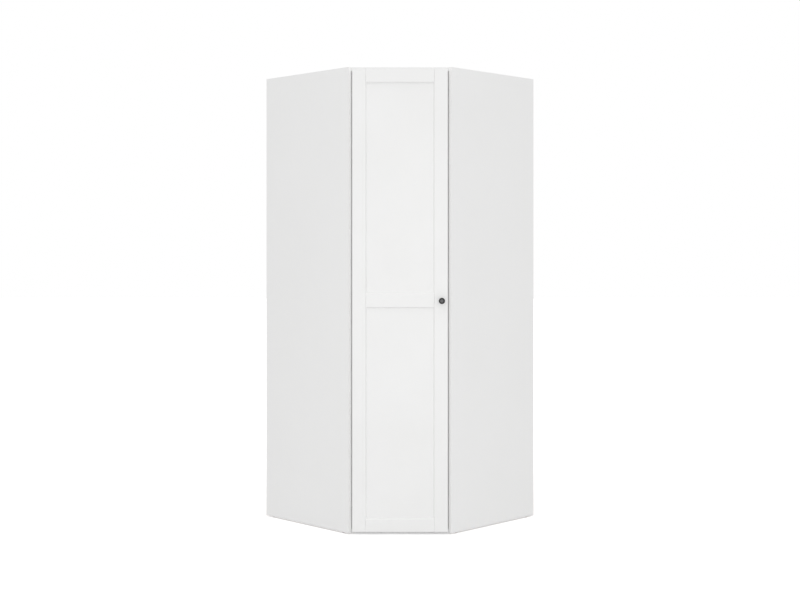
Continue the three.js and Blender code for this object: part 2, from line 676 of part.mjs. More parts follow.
// A rail with coped ends, a tongue at each end, and a groove in each edge that takes a panel
function doorRail([low, high]) {
  const tongues = [STILE_INNER_LEFT - TONGUE, STILE_INNER_RIGHT + TONGUE];
  const bar = solidOf(boxBetween([LEAF_LEFT + STILE, LEAF_RIGHT - STILE], LEAF_DEEP, [low, high]));
  const tongueBar = solidOf(boxBetween(tongues, [PANEL_FRONT, PANEL_BACK], [low, high]));
  const blank = cut(bar, ...COPES).add(tongueBar);
  const grooves = OPENINGS.flat()
    .filter((edge) => edge === low || edge === high)
    .map((edge) => {
      const reach = [tongues[0] - OVERRUN, tongues[1] + OVERRUN];
      const inner = edge === low ? edge + GROOVE_DEPTH : edge - GROOVE_DEPTH;
      const outer = edge === low ? edge - OVERRUN : edge + OVERRUN;
      return boxBetween(reach, GROOVE, [Math.min(inner, outer), Math.max(inner, outer)]);
    });
  return framePiece(blank, ...grooves, ...BEVEL_CUTTERS);
}

function doorPanel([low, high]) {
  return boxBetween(
    [STILE_INNER_LEFT - TONGUE, STILE_INNER_RIGHT + TONGUE],
    [PANEL_FRONT, PANEL_BACK],
    [low - TONGUE, high + TONGUE],
  );
}

const door = new THREE.Group();
front.add(door);
addPiece(door, 'door_stile_left', leftStile(), MATERIALS.foil);
addPiece(door, 'door_stile_right', rightStile(), MATERIALS.foil);
addPiece(door, 'door_rail_bottom', doorRail([LEAF_BOTTOM, OPENINGS[0][0]]), MATERIALS.foil);
addPiece(door, 'door_rail_middle', doorRail([OPENINGS[0][1], OPENINGS[1][0]]), MATERIALS.foil);
addPiece(door, 'door_rail_top', doorRail([OPENINGS[1][1], LEAF_TOP]), MATERIALS.foil);
addPiece(door, 'door_panel_lower', doorPanel(OPENINGS[0]), MATERIALS.foil);
addPiece(door, 'door_panel_upper', doorPanel(OPENINGS[1]), MATERIALS.foil);

// Knob: a foot, a slim neck and a wide head with a rim round a dished face

function knobShape() {
  const boreRadius = SCREW_RADIUS + SEAT_GAP;
  const headFoot = KNOB_PROJECTION - KNOB_HEAD;
  const dishRadius = KNOB_RADIUS - KNOB_RIM;
  const profile = [
    [0, KNOB_BORE_DEPTH],
    [boreRadius, KNOB_BORE_DEPTH],
    [boreRadius, 0],
    [KNOB_FOOT_RADIUS, 0],
    [KNOB_FOOT_RADIUS, KNOB_FOOT],
  ];
  for (let step = 0; step <= KNOB_STEPS; step += 1) {
    const angle = (step / KNOB_STEPS) * (Math.PI / 2);
    const spread = (KNOB_RADIUS - KNOB_NECK_RADIUS) * (1 - Math.cos(angle));
    const rise = (KNOB_HEAD / 2) * Math.sin(angle);
    profile.push([KNOB_NECK_RADIUS + spread, headFoot + rise]);
  }
  for (let step = 0; step <= KNOB_STEPS; step += 1) {
    const angle = (step / KNOB_STEPS) * (Math.PI / 2);
    const radius = KNOB_RADIUS - KNOB_EDGE * (1 - Math.cos(angle));
    profile.push([radius, KNOB_PROJECTION - KNOB_EDGE * (1 - Math.sin(angle))]);
  }
  for (let step = KNOB_STEPS; step >= 0; step -= 1) {
    const share = step / KNOB_STEPS;
    const sunk = KNOB_DISH * (1 - share * share);
    profile.push([dishRadius * share, KNOB_PROJECTION - sunk]);
  }
  const turned = new THREE.LatheGeometry(profile.map(([r, h]) => new THREE.Vector2(r, h)), ROUND);
  return turned.rotateX(Math.PI).translate(KNOB_ALONG, LEAF_FRONT - SEAT_GAP, KNOB_AXIS);
}

function knobScrew() {
  const centre = [KNOB_ALONG, KNOB_AXIS];
  const seat = LEAF_BACK + SEAT_GAP;
  const shank = [LEAF_FRONT - SEAT_GAP - SCREW_REACH, seat + SCREW_HEAD];
  return joined(
    drum('y', SCREW_RADIUS, shank, centre, SMALL_ROUND),
    drum('y', SCREW_HEAD_RADIUS, [seat, seat + SCREW_HEAD], centre, SMALL_ROUND),
  );
}

addPiece(door, 'knob', knobShape(), MATERIALS.black);
addPiece(door, 'knob_screw', knobScrew(), MATERIALS.steel);

// Bumpers on the front edges of the top and bottom boards, where the leaf overlaps them

const BUMPER_HEIGHTS = {
  top: (BOARD_TOP_UNDERSIDE + LEAF_TOP) / 2,
  bottom: (LEAF_BOTTOM + BOARD_BOTTOM_TOP) / 2,
};
for (const [place, height] of Object.entries(BUMPER_HEIGHTS)) {
  const reach = [LEAF_BACK + SEAT_GAP, FRONT_LINE - SEAT_GAP];
  const pad = drum('y', BUMPER_RADIUS, reach, [LEAF_RIGHT - BUMPER_INSET, height], SMALL_ROUND);
  addPiece(front, `bumper_${place}`, pad, MATERIALS.rubber);
}

// Concealed hinges: a cup sunk in the stile, a link, an arm and a mounting plate.
// The door turns about an upright axis just inside its hinge edge, and each link turns
// back by a quarter of the door's angle about the nose pin of its arm.

const LINK_PIVOT = [LEAF_LEFT + NOSE_INSET, LEAF_BACK + NOSE_BEHIND];
const EYE = [LEAF_LEFT + LINK_EYE_INSET, LEAF_BACK - LINK_EYE_SUNK];
const KNEE = [EYE[0] + LINK_KNEE[0], EYE[1] + LINK_KNEE[1]];
const EAR_ALONG = CUP_ALONG + CUP_EAR_OFFSET;
const NOSE = new THREE.Vector2(...toLeftWing(LINK_PIVOT));
const PLATE_TOP = BOARD + SEAT_GAP + PLATE_BODY;
const WEB_UNDERSIDE = PLATE_TOP + SEAT_GAP;
const CHEEK_EDGE = WEB_UNDERSIDE - ARM_CHEEK;
const ARM_REAR = PLATE_LINE + PLATE_BODY_LENGTH / 2;

function around(middle, size) {
  return [middle - size / 2, middle + size / 2];
}

function hingeCup(z) {
  const flange = [LEAF_BACK + SEAT_GAP, LEAF_BACK + SEAT_GAP + CUP_FLANGE];
  const earEnd = CUP_FLANGE_HALF - CUP_EAR_WIDTH / 2;
  const floor = LEAF_BACK - CUP_DEPTH;
  const shell = joined(
    drum('y', CUP_RADIUS, [floor, flange[1]], [CUP_ALONG, z]),
    boxBetween(around(EAR_ALONG, CUP_EAR_WIDTH), flange, around(z, 2 * earEnd)),
    drum('y', CUP_EAR_WIDTH / 2, flange, [EAR_ALONG, z - earEnd]),
    drum('y', CUP_EAR_WIDTH / 2, flange, [EAR_ALONG, z + earEnd]),
  );
  const reach = [floor + CUP_WALL, flange[1] + OVERRUN];
  return cut(shell, drum('y', CUP_RADIUS - CUP_WALL, reach, [CUP_ALONG, z]));
}

// A flat strap between two points of the x, y plane
function strap([x0, y0], [x1, y1], high) {
  const length = Math.hypot(x1 - x0, y1 - y0);
  const bar = boxBetween(around(0, length), around(0, LINK_METAL), high);
  return bar.rotateZ(Math.atan2(y1 - y0, x1 - x0)).translate((x0 + x1) / 2, (y0 + y1) / 2, 0);
}

function hingeLink(z) {
  const high = around(z, LINK_WIDTH);
  const link = joined(
    strap(EYE, KNEE, high),
    strap(KNEE, LINK_PIVOT, high),
    drum('z', LINK_METAL / 2, high, KNEE, SMALL_ROUND),
    drum('z', LINK_EYE_RADIUS, high, EYE, SMALL_ROUND),
    drum('z', LINK_BOSS_RADIUS, high, LINK_PIVOT),
  );
  const boreReach = around(z, LINK_WIDTH + 2 * OVERRUN);
  return cut(link, drum('z', NOSE_PIN_RADIUS + SEAT_GAP, boreReach, LINK_PIVOT, SMALL_ROUND));
}

// Sheet-metal arm, in the left wing's axes: a web with two cheeks, open towards the panel
function hingeArm(z) {
  const bend = new THREE.Vector2(WEB_UNDERSIDE - ARM_CHANNEL, ARM_BEND);
  const forward = NOSE.clone().sub(bend).normalize();
  const outward = new THREE.Vector2(-forward.y, forward.x);
  const nose = (ahead, out) =>
    NOSE.clone().addScaledVector(forward, ahead).addScaledVector(outward, out).toArray();
  const outline = [
    [WEB_UNDERSIDE + ARM_METAL, ARM_REAR],
    [WEB_UNDERSIDE + ARM_METAL, ARM_BEND],
    nose(0, ARM_CHANNEL + ARM_METAL),
    nose(LINK_BOSS_RADIUS, ARM_CHANNEL + ARM_METAL),
    nose(LINK_BOSS_RADIUS, 0),
    nose(0, -LINK_BOSS_RADIUS),
    [CHEEK_EDGE, ARM_BEND],
    [CHEEK_EDGE, ARM_REAR],
  ];
  const channel = [
    [WEB_UNDERSIDE, ARM_REAR + OVERRUN],
    [WEB_UNDERSIDE, ARM_BEND],
    nose(0, ARM_CHANNEL),
    nose(2 * LINK_BOSS_RADIUS, ARM_CHANNEL),
    nose(2 * LINK_BOSS_RADIUS, -2 * LINK_BOSS_RADIUS),
    nose(0, -2 * LINK_BOSS_RADIUS),
    [CHEEK_EDGE - OVERRUN, ARM_BEND],
    [CHEEK_EDGE - OVERRUN, ARM_REAR + OVERRUN],
  ];
  const blank = joined(
    raised(outline, around(z, ARM_WIDTH)),
    drum('z', LINK_BOSS_RADIUS, around(z, ARM_WIDTH), NOSE.toArray()),
  );
  const bent = cut(blank, raised(channel, around(z, ARM_WIDTH - 2 * ARM_METAL)));
  return bent.add(solidOf(drum('z', NOSE_PIN_RADIUS, around(z, ARM_WIDTH), NOSE.toArray(), SMALL_ROUND)));
}

function hingePlate(z) {
  const wing = [BOARD + SEAT_GAP, BOARD + SEAT_GAP + PLATE_WING];
  const straight = PLATE_WING_HEIGHT / 2 - PLATE_WING_WIDTH / 2;
  return joined(
    boxBetween(wing, around(PLATE_LINE, PLATE_WING_WIDTH), around(z, 2 * straight)),
    drum('x', PLATE_WING_WIDTH / 2, wing, [PLATE_LINE, z - straight]),
    drum('x', PLATE_WING_WIDTH / 2, wing, [PLATE_LINE, z + straight]),
    boxBetween([wing[0], PLATE_TOP], around(PLATE_LINE, PLATE_BODY_LENGTH), around(z, PLATE_BODY_WIDTH)),
  );
}

for (const [index, height] of HINGE_HEIGHTS.entries()) {
  const number = index + 1;
  addPiece(door, `hinge_cup_${number}`, hingeCup(height), MATERIALS.steel);
  addPiece(front, `hinge_link_${number}`, hingeLink(height), MATERIALS.steel);
  addPiece(wings.left, `hinge_arm_${number}`, hingeArm(height), MATERIALS.steel);
  addPiece(wings.left, `hinge_plate_${number}`, hingePlate(height), MATERIALS.steel);
}

export default wardrobe;
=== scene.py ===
# %% [markdown]
# # A white corner wardrobe
#
# The object is a tall five-sided cupboard that fills the corner of a room. One narrow framed
# door with two recessed panels closes its diagonal front, and a small black knob opens it.
# The wooden boards, the door and the fittings come ready from the CAD model, in metres, with
# +Z up and the door facing -Y. This lesson gives them their finishes, softens their edges and
# adds the small things that are too fine for the CAD model.

import json
import math

import bmesh
import bpy
from mathutils import Matrix, Vector

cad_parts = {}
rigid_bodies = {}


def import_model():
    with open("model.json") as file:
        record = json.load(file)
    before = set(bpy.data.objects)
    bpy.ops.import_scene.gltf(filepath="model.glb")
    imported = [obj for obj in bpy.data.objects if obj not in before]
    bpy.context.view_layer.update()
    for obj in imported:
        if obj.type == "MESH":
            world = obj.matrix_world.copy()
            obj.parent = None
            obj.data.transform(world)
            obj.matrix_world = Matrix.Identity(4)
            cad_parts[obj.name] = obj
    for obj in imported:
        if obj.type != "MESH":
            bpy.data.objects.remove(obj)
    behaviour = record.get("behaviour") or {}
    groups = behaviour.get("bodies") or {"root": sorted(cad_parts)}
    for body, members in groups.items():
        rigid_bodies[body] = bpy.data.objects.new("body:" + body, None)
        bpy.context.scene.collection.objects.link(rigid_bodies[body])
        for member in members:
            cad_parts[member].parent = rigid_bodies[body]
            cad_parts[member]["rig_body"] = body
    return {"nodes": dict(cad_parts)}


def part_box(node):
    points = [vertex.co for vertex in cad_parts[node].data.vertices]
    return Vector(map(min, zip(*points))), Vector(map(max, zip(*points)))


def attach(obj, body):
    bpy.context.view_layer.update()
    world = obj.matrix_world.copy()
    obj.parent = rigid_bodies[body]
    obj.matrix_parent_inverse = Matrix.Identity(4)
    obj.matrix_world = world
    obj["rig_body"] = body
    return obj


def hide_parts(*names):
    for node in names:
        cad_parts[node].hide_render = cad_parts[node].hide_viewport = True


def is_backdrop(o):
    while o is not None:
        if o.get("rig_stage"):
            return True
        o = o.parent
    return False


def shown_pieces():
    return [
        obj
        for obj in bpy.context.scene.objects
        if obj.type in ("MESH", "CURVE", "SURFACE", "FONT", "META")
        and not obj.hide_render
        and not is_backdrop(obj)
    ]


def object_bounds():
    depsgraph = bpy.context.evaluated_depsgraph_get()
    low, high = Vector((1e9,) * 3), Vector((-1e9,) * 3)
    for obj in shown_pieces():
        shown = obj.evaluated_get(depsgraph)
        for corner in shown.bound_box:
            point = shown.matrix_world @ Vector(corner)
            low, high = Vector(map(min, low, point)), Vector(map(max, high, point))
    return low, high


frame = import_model()
CAD_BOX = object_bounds()
SCENE = bpy.context.scene
MM = 0.001
print("pieces from the CAD model:", len(frame["nodes"]))
print("size in millimetres:", [round(edge / MM, 1) for edge in CAD_BOX[1] - CAD_BOX[0]])

# %% [markdown]
# ## The camera
#
# The photograph looks straight at the door. Its upright edges stay upright, so the camera is
# level, and the picture is shifted instead of tilted. The flanks run back at 45 degrees, and how
# fast they shrink gives the lens. A tilted camera with the same view would bend the uprights, so
# the shift of the lens is the honest way to get this framing.

# %% Camera
PHOTO_WIDTH = 800  # pixels
FOCAL_LENGTH = 1292  # pixels
HORIZON_LIFT = 47  # pixels from the middle of the picture up to the horizon
CAMERA_DISTANCE = 5.828  # from the outer front corners to the camera
CAMERA_HEIGHT = 1.268
SENSOR = 36  # millimetres


def new_object(name, data):
    """An object at the origin, linked into the scene."""
    made = bpy.data.objects.new(name, data)
    SCENE.collection.objects.link(made)
    return made


front_corner_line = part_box("side_panel_left")[0].y
camera_data = bpy.data.cameras.new("camera")
camera_data.sensor_width = SENSOR
camera_data.lens = SENSOR * FOCAL_LENGTH / PHOTO_WIDTH
camera_data.shift_y = -HORIZON_LIFT / PHOTO_WIDTH
camera = new_object("camera", camera_data)
camera.location = (0, front_corner_line - CAMERA_DISTANCE, CAMERA_HEIGHT)
camera.rotation_euler = (math.radians(90), 0, 0)
SCENE.camera = camera
SCENE.view_settings.view_transform = "Standard"
print("lens in millimetres:", round(camera_data.lens, 2))

# %% [markdown]
# ## Small helpers for node trees
#
# Every finish below is a small tree of nodes. Adding a node always takes the same three moves:
# make it, set its options, and fill or connect its inputs. One helper does all three, so that a
# finish reads as a list of what it is made of.


# %% Node helpers
def add(tree, kind, inputs=None, **options):
    """Adds one node. An input is filled with a value, or connected if it is given a socket."""
    made = tree.nodes.new(kind)
    for name, value in options.items():
        setattr(made, name, value)
    for name, value in (inputs or {}).items():
        if isinstance(value, bpy.types.NodeSocket):
            tree.links.new(value, made.inputs[name])
        else:
            made.inputs[name].default_value = value
    return made


def math_of(tree, operation, first, second=0.0):
    """One Math node, with its inputs given as numbers or sockets."""
    return add(tree, "ShaderNodeMath", {0: first, 1: second}, operation=operation).outputs[0]


def mixed(tree, share, first, second):
    """A colour between two others. The colour sockets of a Mix node are its seventh and eighth."""
    mix = add(tree, "ShaderNodeMix", {0: share, 6: first, 7: second}, data_type="RGBA")
    return mix.outputs[2]


def spread(tree, value, low, high, start=0.3, end=0.7):
    """Stretches a texture's middle values over a range of its own."""
    limits = {"Value": value, "From Min": start, "From Max": end, "To Min": low, "To Max": high}
    return add(tree, "ShaderNodeMapRange", limits).outputs["Result"]


def noise(tree, place, size, detail=2.0):
    """Smooth noise whose blots are about `size` metres across."""
    settings = {"Vector": place, "Scale": 1 / size, "Detail": detail}
    return add(tree, "ShaderNodeTexNoise", settings).outputs["Fac"]


def stretched(tree, place, scale):
    """The same place with each axis scaled, so that a texture runs longer along one of them."""
    return add(tree, "ShaderNodeMapping", {"Vector": place, "Scale": scale}).outputs["Vector"]


def bumped(tree, height, depth, strength, under=None):
    """A bump of `depth` metres, laid over another bump if one is given."""
    inputs = {"Height": height, "Distance": depth, "Strength": strength}
    if under is not None:
        inputs["Normal"] = under
    return add(tree, "ShaderNodeBump", inputs).outputs["Normal"]


def new_finish(name, uniform):
    """An empty finish: its material, tree, shader, and the place and facing of each point."""
    material = bpy.data.materials.new(name)
    material.use_nodes = True
    tree = material.node_tree
    shader = tree.nodes["Principled BSDF"]
    for socket, value in uniform.items():
        shader.inputs[socket].default_value = value
    coordinates = add(tree, "ShaderNodeTexCoord")
    return material, tree, shader, coordinates.outputs["Object"], coordinates.outputs["Normal"]


def finish_with(tree, shader, sockets):
    """Connects what a finish worked out to its shader."""
    for name, source in sockets.items():
        tree.links.new(source, shader.inputs[name])


# %% [markdown]
# ## The studio
#
# The photograph has a pure white ground. The floor is a large pale sheet. For the camera, and
# for what the metal mirrors, it also glows a little, which lifts it to white and leaves the
# object's shadow on it. Turning up the lamps instead would burn out the white door, whose
# grooves are only a little darker than its face.

# %% Floor and world
FLOOR_SIZE = 60  # metres
FLOOR_COLOUR = (0.82, 0.82, 0.82, 1)
FLOOR_GLOW = 0.48
WHITE = (1, 1, 1, 1)
SKY_STRENGTH = 0.815


def seen_directly(tree):
    """1 for the camera's rays and for the rays that metal and glass send out, otherwise 0."""
    rays = add(tree, "ShaderNodeLightPath").outputs
    mirrored = math_of(tree, "MAXIMUM", rays["Is Glossy Ray"], rays["Is Transmission Ray"])
    return math_of(tree, "MAXIMUM", rays["Is Camera Ray"], mirrored)


def floor_finish():
    uniform = {"Base Color": FLOOR_COLOUR, "Roughness": 0.9, "Emission Color": WHITE}
    material, tree, shader, _, _ = new_finish("studio_floor", uniform)
    glow = math_of(tree, "MULTIPLY", seen_directly(tree), FLOOR_GLOW)
    finish_with(tree, shader, {"Emission Strength": glow})
    return material


def studio_floor():
    mesh = bpy.data.meshes.new("studio_floor")
    half = FLOOR_SIZE / 2
    corners = [(-half, -half, 0), (half, -half, 0), (half, half, 0), (-half, half, 0)]
    mesh.from_pydata(corners, [], [(0, 1, 2, 3)])
    mesh.materials.append(floor_finish())
    floor = new_object("studio_floor", mesh)
    floor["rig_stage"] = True


def studio_world():
    world = bpy.data.worlds.new("studio_world")
    world.use_nodes = True
    tree = world.node_tree
    tree.nodes.clear()
    soft = add(tree, "ShaderNodeBackground", {"Color": WHITE, "Strength": SKY_STRENGTH})
    white = add(tree, "ShaderNodeBackground", {"Color": WHITE, "Strength": 1.0})
    both = {0: seen_directly(tree), 1: soft.outputs[0], 2: white.outputs[0]}
    sky = add(tree, "ShaderNodeMixShader", both)
    add(tree, "ShaderNodeOutputWorld", {"Surface": sky.outputs[0]})
    SCENE.world = world


studio_floor()
studio_world()
print("sky strength:", SKY_STRENGTH)

# %% [markdown]
# ## The lamps
#
# The door is the brightest face and the two flanks are a little greyer and alike, so the main
# light comes from the front. The line under each door rail is darker than the line over it, so
# the light also comes from above. Two wide area lamps do that. Small lamps would throw hard
# shadows, which the photograph doesn't have.

# %% Lamps
LAMPS = {
    "front_lamp": {"place": (0.25, -5.2, 1.1), "aim": (0, 0, 1.0), "size": 2.6, "power": 28.5},
    "top_lamp": {"place": (0, -2.0, 6.4), "aim": (0, -0.3, 1.0), "size": 3.6, "power": 48},
}
for name, lamp in LAMPS.items():
    data = bpy.data.lights.new(name, "AREA")
    data.size = lamp["size"]
    data.energy = lamp["power"]
    light = new_object(name, data)
    light.location = lamp["place"]
    aim = Vector(lamp["aim"]) - light.location
    light.rotation_euler = aim.to_track_quat("-Z", "Y").to_euler()
    light.visible_camera = False
print("lamps:", ", ".join(LAMPS))

# %% [markdown]
# ## Where things are
#
# The left side panel gives two directions: across it, and deep, from the front edge to the wall.
# Together with the height they place everything that is fixed to the left half of the cupboard.
# The right half is its mirror image. Reading these lines from the loaded model, and not from a
# list of numbers, keeps the small parts in their places if the cupboard ever changes its size.

# %% Directions and places
BOARD = 18 * MM
BACK_SHEET = 3 * MM
DIAGONAL = math.sqrt(0.5)
ACROSS = Vector((DIAGONAL, DIAGONAL, 0))
DEEP = Vector((-DIAGONAL, DIAGONAL, 0))
UP = Vector((0, 0, 1))
FORWARD = Vector((0, -1, 0))
INWARD = Vector((0, 1, 0))

panel_low, panel_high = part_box("side_panel_left")
FRONT_CORNER = Vector((panel_high.x - BOARD * DIAGONAL, panel_low.y, 0))
SIDE_DEPTH = (FRONT_CORNER.x - panel_low.x) / DIAGONAL
TOP = panel_high.z
UNDERSIDE = panel_low.z


def wing(across, deep, height):
    """A point in the left half: across the side panel, deep from its front edge, and up."""
    return FRONT_CORNER + ACROSS * across + DEEP * deep + UP * height


def mirror(point):
    """The same point or direction in the right half."""
    return Vector((-point.x, point.y, point.z))


def centre_of(node):
    low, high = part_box(node)
    return (low + high) / 2


WALL_SIDE = (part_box("back_panel_left")[1].y - FRONT_CORNER.y) / DIAGONAL - SIDE_DEPTH
print("side panel's depth:", round(SIDE_DEPTH / MM, 1), "wall side:", round(WALL_SIDE / MM, 1))

# %% [markdown]
# ## White coated board
#
# The sides, the top, the bottom and the shelf are particle board under a thin white melamine
# layer. The layer is pressed against a plate with a fine pearl texture, so it isn't a mirror: it
# breaks the light over pimples about a millimetre wide. A flat white would look like paper.
# Noise of that size goes into the bump, wider noise shifts the gloss, and very wide noise
# changes the white by about one part in a hundred, as hands and light do over the years.

# %% White coated board
BOARD_WHITE = (0.888, 0.888, 0.885, 1)
BOARD_SHADE = (0.872, 0.872, 0.868, 1)
BOARD_SHADE_SHARE = 0.6
BOARD_CLOUD = 0.35  # metres across, as every size of noise here
BOARD_SPECK = 2.5 * MM
BOARD_SPECK_SHARE = 0.25
BOARD_GLOSS_PATCH = 0.03
BOARD_GLOSS = (0.44, 0.54)
PEARL_SIZE = 1.1 * MM
PEARL_DEPTH = 0.05 * MM
SWELL_SIZE = 0.06
SWELL_DEPTH = 3 * PEARL_DEPTH


def coated_colour(tree, place):
    cloud = spread(tree, noise(tree, place, BOARD_CLOUD), 0.0, 1.0)
    speck = spread(tree, noise(tree, place, BOARD_SPECK, 1.0), 0.0, BOARD_SPECK_SHARE)
    share = math_of(tree, "MULTIPLY", math_of(tree, "ADD", cloud, speck), BOARD_SHADE_SHARE)
    return mixed(tree, share, BOARD_WHITE, BOARD_SHADE)


def coated_gloss(tree, place):
    return spread(tree, noise(tree, place, BOARD_GLOSS_PATCH), *BOARD_GLOSS)


def pearl_bump(tree, place):
    swell = bumped(tree, noise(tree, place, SWELL_SIZE, 1.0), SWELL_DEPTH, 0.5)
    return bumped(tree, noise(tree, place, PEARL_SIZE, 1.0), PEARL_DEPTH, 0.7, under=swell)


def coated_board():
    uniform = {"Specular IOR Level": 0.5}
    material, tree, shader, place, _ = new_finish("white_coated_board", uniform)
    sockets = {
        "Base Color": coated_colour(tree, place),
        "Roughness": coated_gloss(tree, place),
        "Normal": pearl_bump(tree, place),
    }
    finish_with(tree, shader, sockets)
    return material


BOARD_FINISH = coated_board()
print("finish:", BOARD_FINISH.name)

# %% [markdown]
# ## Raw edges and the edging strip
#
# A side panel is coated on its faces, and a strip of solid plastic one millimetre thick covers its
# front edge. The strip's white is painted lighter than the faces: painted light that lifts the
# shade on the edge next to the door. The rear edge and the underside, which nobody sees, stay raw:
# pressed wood chips in several browns. Masks that read which way the surface faces pick these
# edges out, and one more draws the fine joint line where the strip meets the coated face. Painting
# masks by hand would tie them to one mesh, while these follow the panel's own directions. A chip
# is a cell of a Voronoi texture with a brown of its own.

# %% Side panels
CHIP_LIGHT = (0.56, 0.42, 0.26, 1)
CHIP_DARK = (0.24, 0.15, 0.08, 1)
CHIP_SIZE = 1.6 * MM
CHIP_LAY = (1, 1, 0.45)  # the chips lie along the height
CHIP_SHARE = 0.8
DUST_SIZE = 0.5 * MM
DUST_SHARE = 0.3
RAW_ROUGHNESS = 0.9
STRIP = 1.0 * MM
# painted light: the strip's white is lighter than the faces, to lift the shade on the edge beside
# the door
STRIP_WHITE_PAINTED_LIGHT = (0.94, 0.94, 0.935, 1)
JOINT_LINE = 0.12 * MM
JOINT_SHADE = (0.60, 0.60, 0.58, 1)
STRAIGHT = 0.97  # cosine of 14 degrees


def along(tree, vector, direction):
    """How far a vector reaches along a direction."""
    product = add(tree, "ShaderNodeVectorMath", {0: vector, 1: direction}, operation="DOT_PRODUCT")
    return product.outputs["Value"]


def faces(tree, facing, direction, least=STRAIGHT):
    """1 where a surface looks along a direction, within the angle with the cosine `least`."""
    return math_of(tree, "GREATER_THAN", along(tree, facing, direction), least)


def chip_colour(tree, place):
    laid = stretched(tree, place, CHIP_LAY)
    cells = add(tree, "ShaderNodeTexVoronoi", {"Vector": laid, "Scale": 1 / CHIP_SIZE})
    chips = add(tree, "ShaderNodeSeparateColor", {"Color": cells.outputs["Color"]}).outputs["Red"]
    dust = spread(tree, noise(tree, laid, DUST_SIZE, 3.0), 0.0, DUST_SHARE)
    share = math_of(tree, "ADD", math_of(tree, "MULTIPLY", chips, CHIP_SHARE), dust)
    return mixed(tree, share, CHIP_LIGHT, CHIP_DARK)


def joint_line(tree, place, start, direction):
    """1 on the line that lies one strip's thickness behind the front edge, otherwise 0."""
    behind = math_of(tree, "SUBTRACT", along(tree, place, direction), start + STRIP)
    return math_of(tree, "LESS_THAN", math_of(tree, "ABSOLUTE", behind), JOINT_LINE)


def side_panel_finish(side, deep):
    name = f"white_side_panel_{side}"
    material, tree, shader, place, facing = new_finish(name, {"Specular IOR Level": 0.5})
    corner = FRONT_CORNER if side == "left" else mirror(FRONT_CORNER)
    raw = math_of(tree, "MAXIMUM", faces(tree, facing, deep), faces(tree, facing, -UP))
    line = joint_line(tree, place, corner.dot(deep), deep)
    # the front edge takes the strip's white, painted lighter as painted light against its shade
    sheet = mixed(tree, faces(tree, facing, -deep), coated_colour(tree, place), STRIP_WHITE_PAINTED_LIGHT)
    coated = mixed(tree, line, sheet, JOINT_SHADE)
    rough = math_of(tree, "MULTIPLY", raw, RAW_ROUGHNESS)
    sockets = {
        "Base Color": mixed(tree, raw, coated, chip_colour(tree, place)),
        "Roughness": math_of(tree, "MAXIMUM", coated_gloss(tree, place), rough),
        "Normal": pearl_bump(tree, place),
    }
    finish_with(tree, shader, sockets)
    return material


PANEL_FINISH = {
    "left": side_panel_finish("left", DEEP),
    "right": side_panel_finish("right", mirror(DEEP)),
}
print("finishes:", ", ".join(finish.name for finish in PANEL_FINISH.values()))

# %% [markdown]
# ## Foil on the door
#
# The door's stiles, rails and panels are fibreboard wrapped in a thin white foil. It is smoother
# and a little glossier than the boards, and very slightly wavy, because the foil is drawn over
# the grooves by heat. The wave is what makes a reflection on such a door swim a little. It is
# wider and flatter than the pearl of the boards, and the same bump helper makes both.

# %% Foil
FOIL_WHITE = (0.892, 0.892, 0.888, 1)
FOIL_SHADE = (0.874, 0.874, 0.868, 1)
FOIL_CLOUD = 0.28
FOIL_WAVE = 5 * MM
FOIL_WAVE_DEPTH = 0.04 * MM
FOIL_PORE = 0.5 * MM
FOIL_PORE_DEPTH = 0.012 * MM
FOIL_GLOSS_PATCH = 0.02
FOIL_GLOSS = (0.36, 0.44)


def door_foil():
    uniform = {"Specular IOR Level": 0.5, "Coat Weight": 0.12, "Coat Roughness": 0.3}
    material, tree, shader, place, _ = new_finish("white_door_foil", uniform)
    cloud = spread(tree, noise(tree, place, FOIL_CLOUD), 0.0, 1.0)
    wave = bumped(tree, noise(tree, place, FOIL_WAVE, 1.0), FOIL_WAVE_DEPTH, 0.6)
    pores = noise(tree, place, FOIL_PORE, 1.0)
    sockets = {
        "Base Color": mixed(tree, cloud, FOIL_WHITE, FOIL_SHADE),
        "Roughness": spread(tree, noise(tree, place, FOIL_GLOSS_PATCH, 3.0), *FOIL_GLOSS),
        "Normal": bumped(tree, pores, FOIL_PORE_DEPTH, 0.6, under=wave),
    }
    finish_with(tree, shader, sockets)
    return material


FOIL_FINISH = door_foil()
print("finish:", FOIL_FINISH.name)

# %% [markdown]
# ## Hardboard of the back
#
# The two back sheets are three millimetre hardboard. The side that faces the clothes is
# lacquered white. The side that faces the wall, and the cut edges, are the bare brown of pressed
# fibres. Both inner faces look towards the door, so one question is enough to tell them apart:
# does this point face forward? The fibres are noise that is drawn out a little along the height.

# %% Hardboard
LACQUER_WHITE = (0.82, 0.82, 0.80, 1)
LACQUER_SHADE = (0.80, 0.80, 0.775, 1)
FIBRE_LIGHT = (0.31, 0.185, 0.095, 1)
FIBRE_DARK = (0.205, 0.115, 0.055, 1)
FIBRE_LAY = (1, 1, 0.35)  # the fibres lie along the height
FIBRE_SIZE = 1.4 * MM
FIBRE_DEPTH = 0.03 * MM
FIBRE_GLOSS = (0.5, 0.68)
HARDBOARD_STAIN = 0.12
INNER_LIMIT = 0.5  # cosine of 60 degrees; the inner faces are turned 45 degrees from the door


def back_hardboard():
    uniform = {"Specular IOR Level": 0.4}
    material, tree, shader, place, facing = new_finish("hardboard_back", uniform)
    inner = faces(tree, facing, FORWARD, INNER_LIMIT)
    fibres = noise(tree, stretched(tree, place, FIBRE_LAY), FIBRE_SIZE, 6.0)
    stains = noise(tree, place, HARDBOARD_STAIN, 3.0)
    share = math_of(tree, "MULTIPLY", spread(tree, fibres, 0, 1.2), spread(tree, stains, 0.5, 1))
    fibre = mixed(tree, share, FIBRE_LIGHT, FIBRE_DARK)
    lacquer = mixed(tree, spread(tree, stains, 0, 1), LACQUER_WHITE, LACQUER_SHADE)
    sockets = {
        "Base Color": mixed(tree, inner, fibre, lacquer),
        "Roughness": spread(tree, fibres, *FIBRE_GLOSS),
        "Normal": bumped(tree, fibres, FIBRE_DEPTH, 0.6),
    }
    finish_with(tree, shader, sockets)
    return material


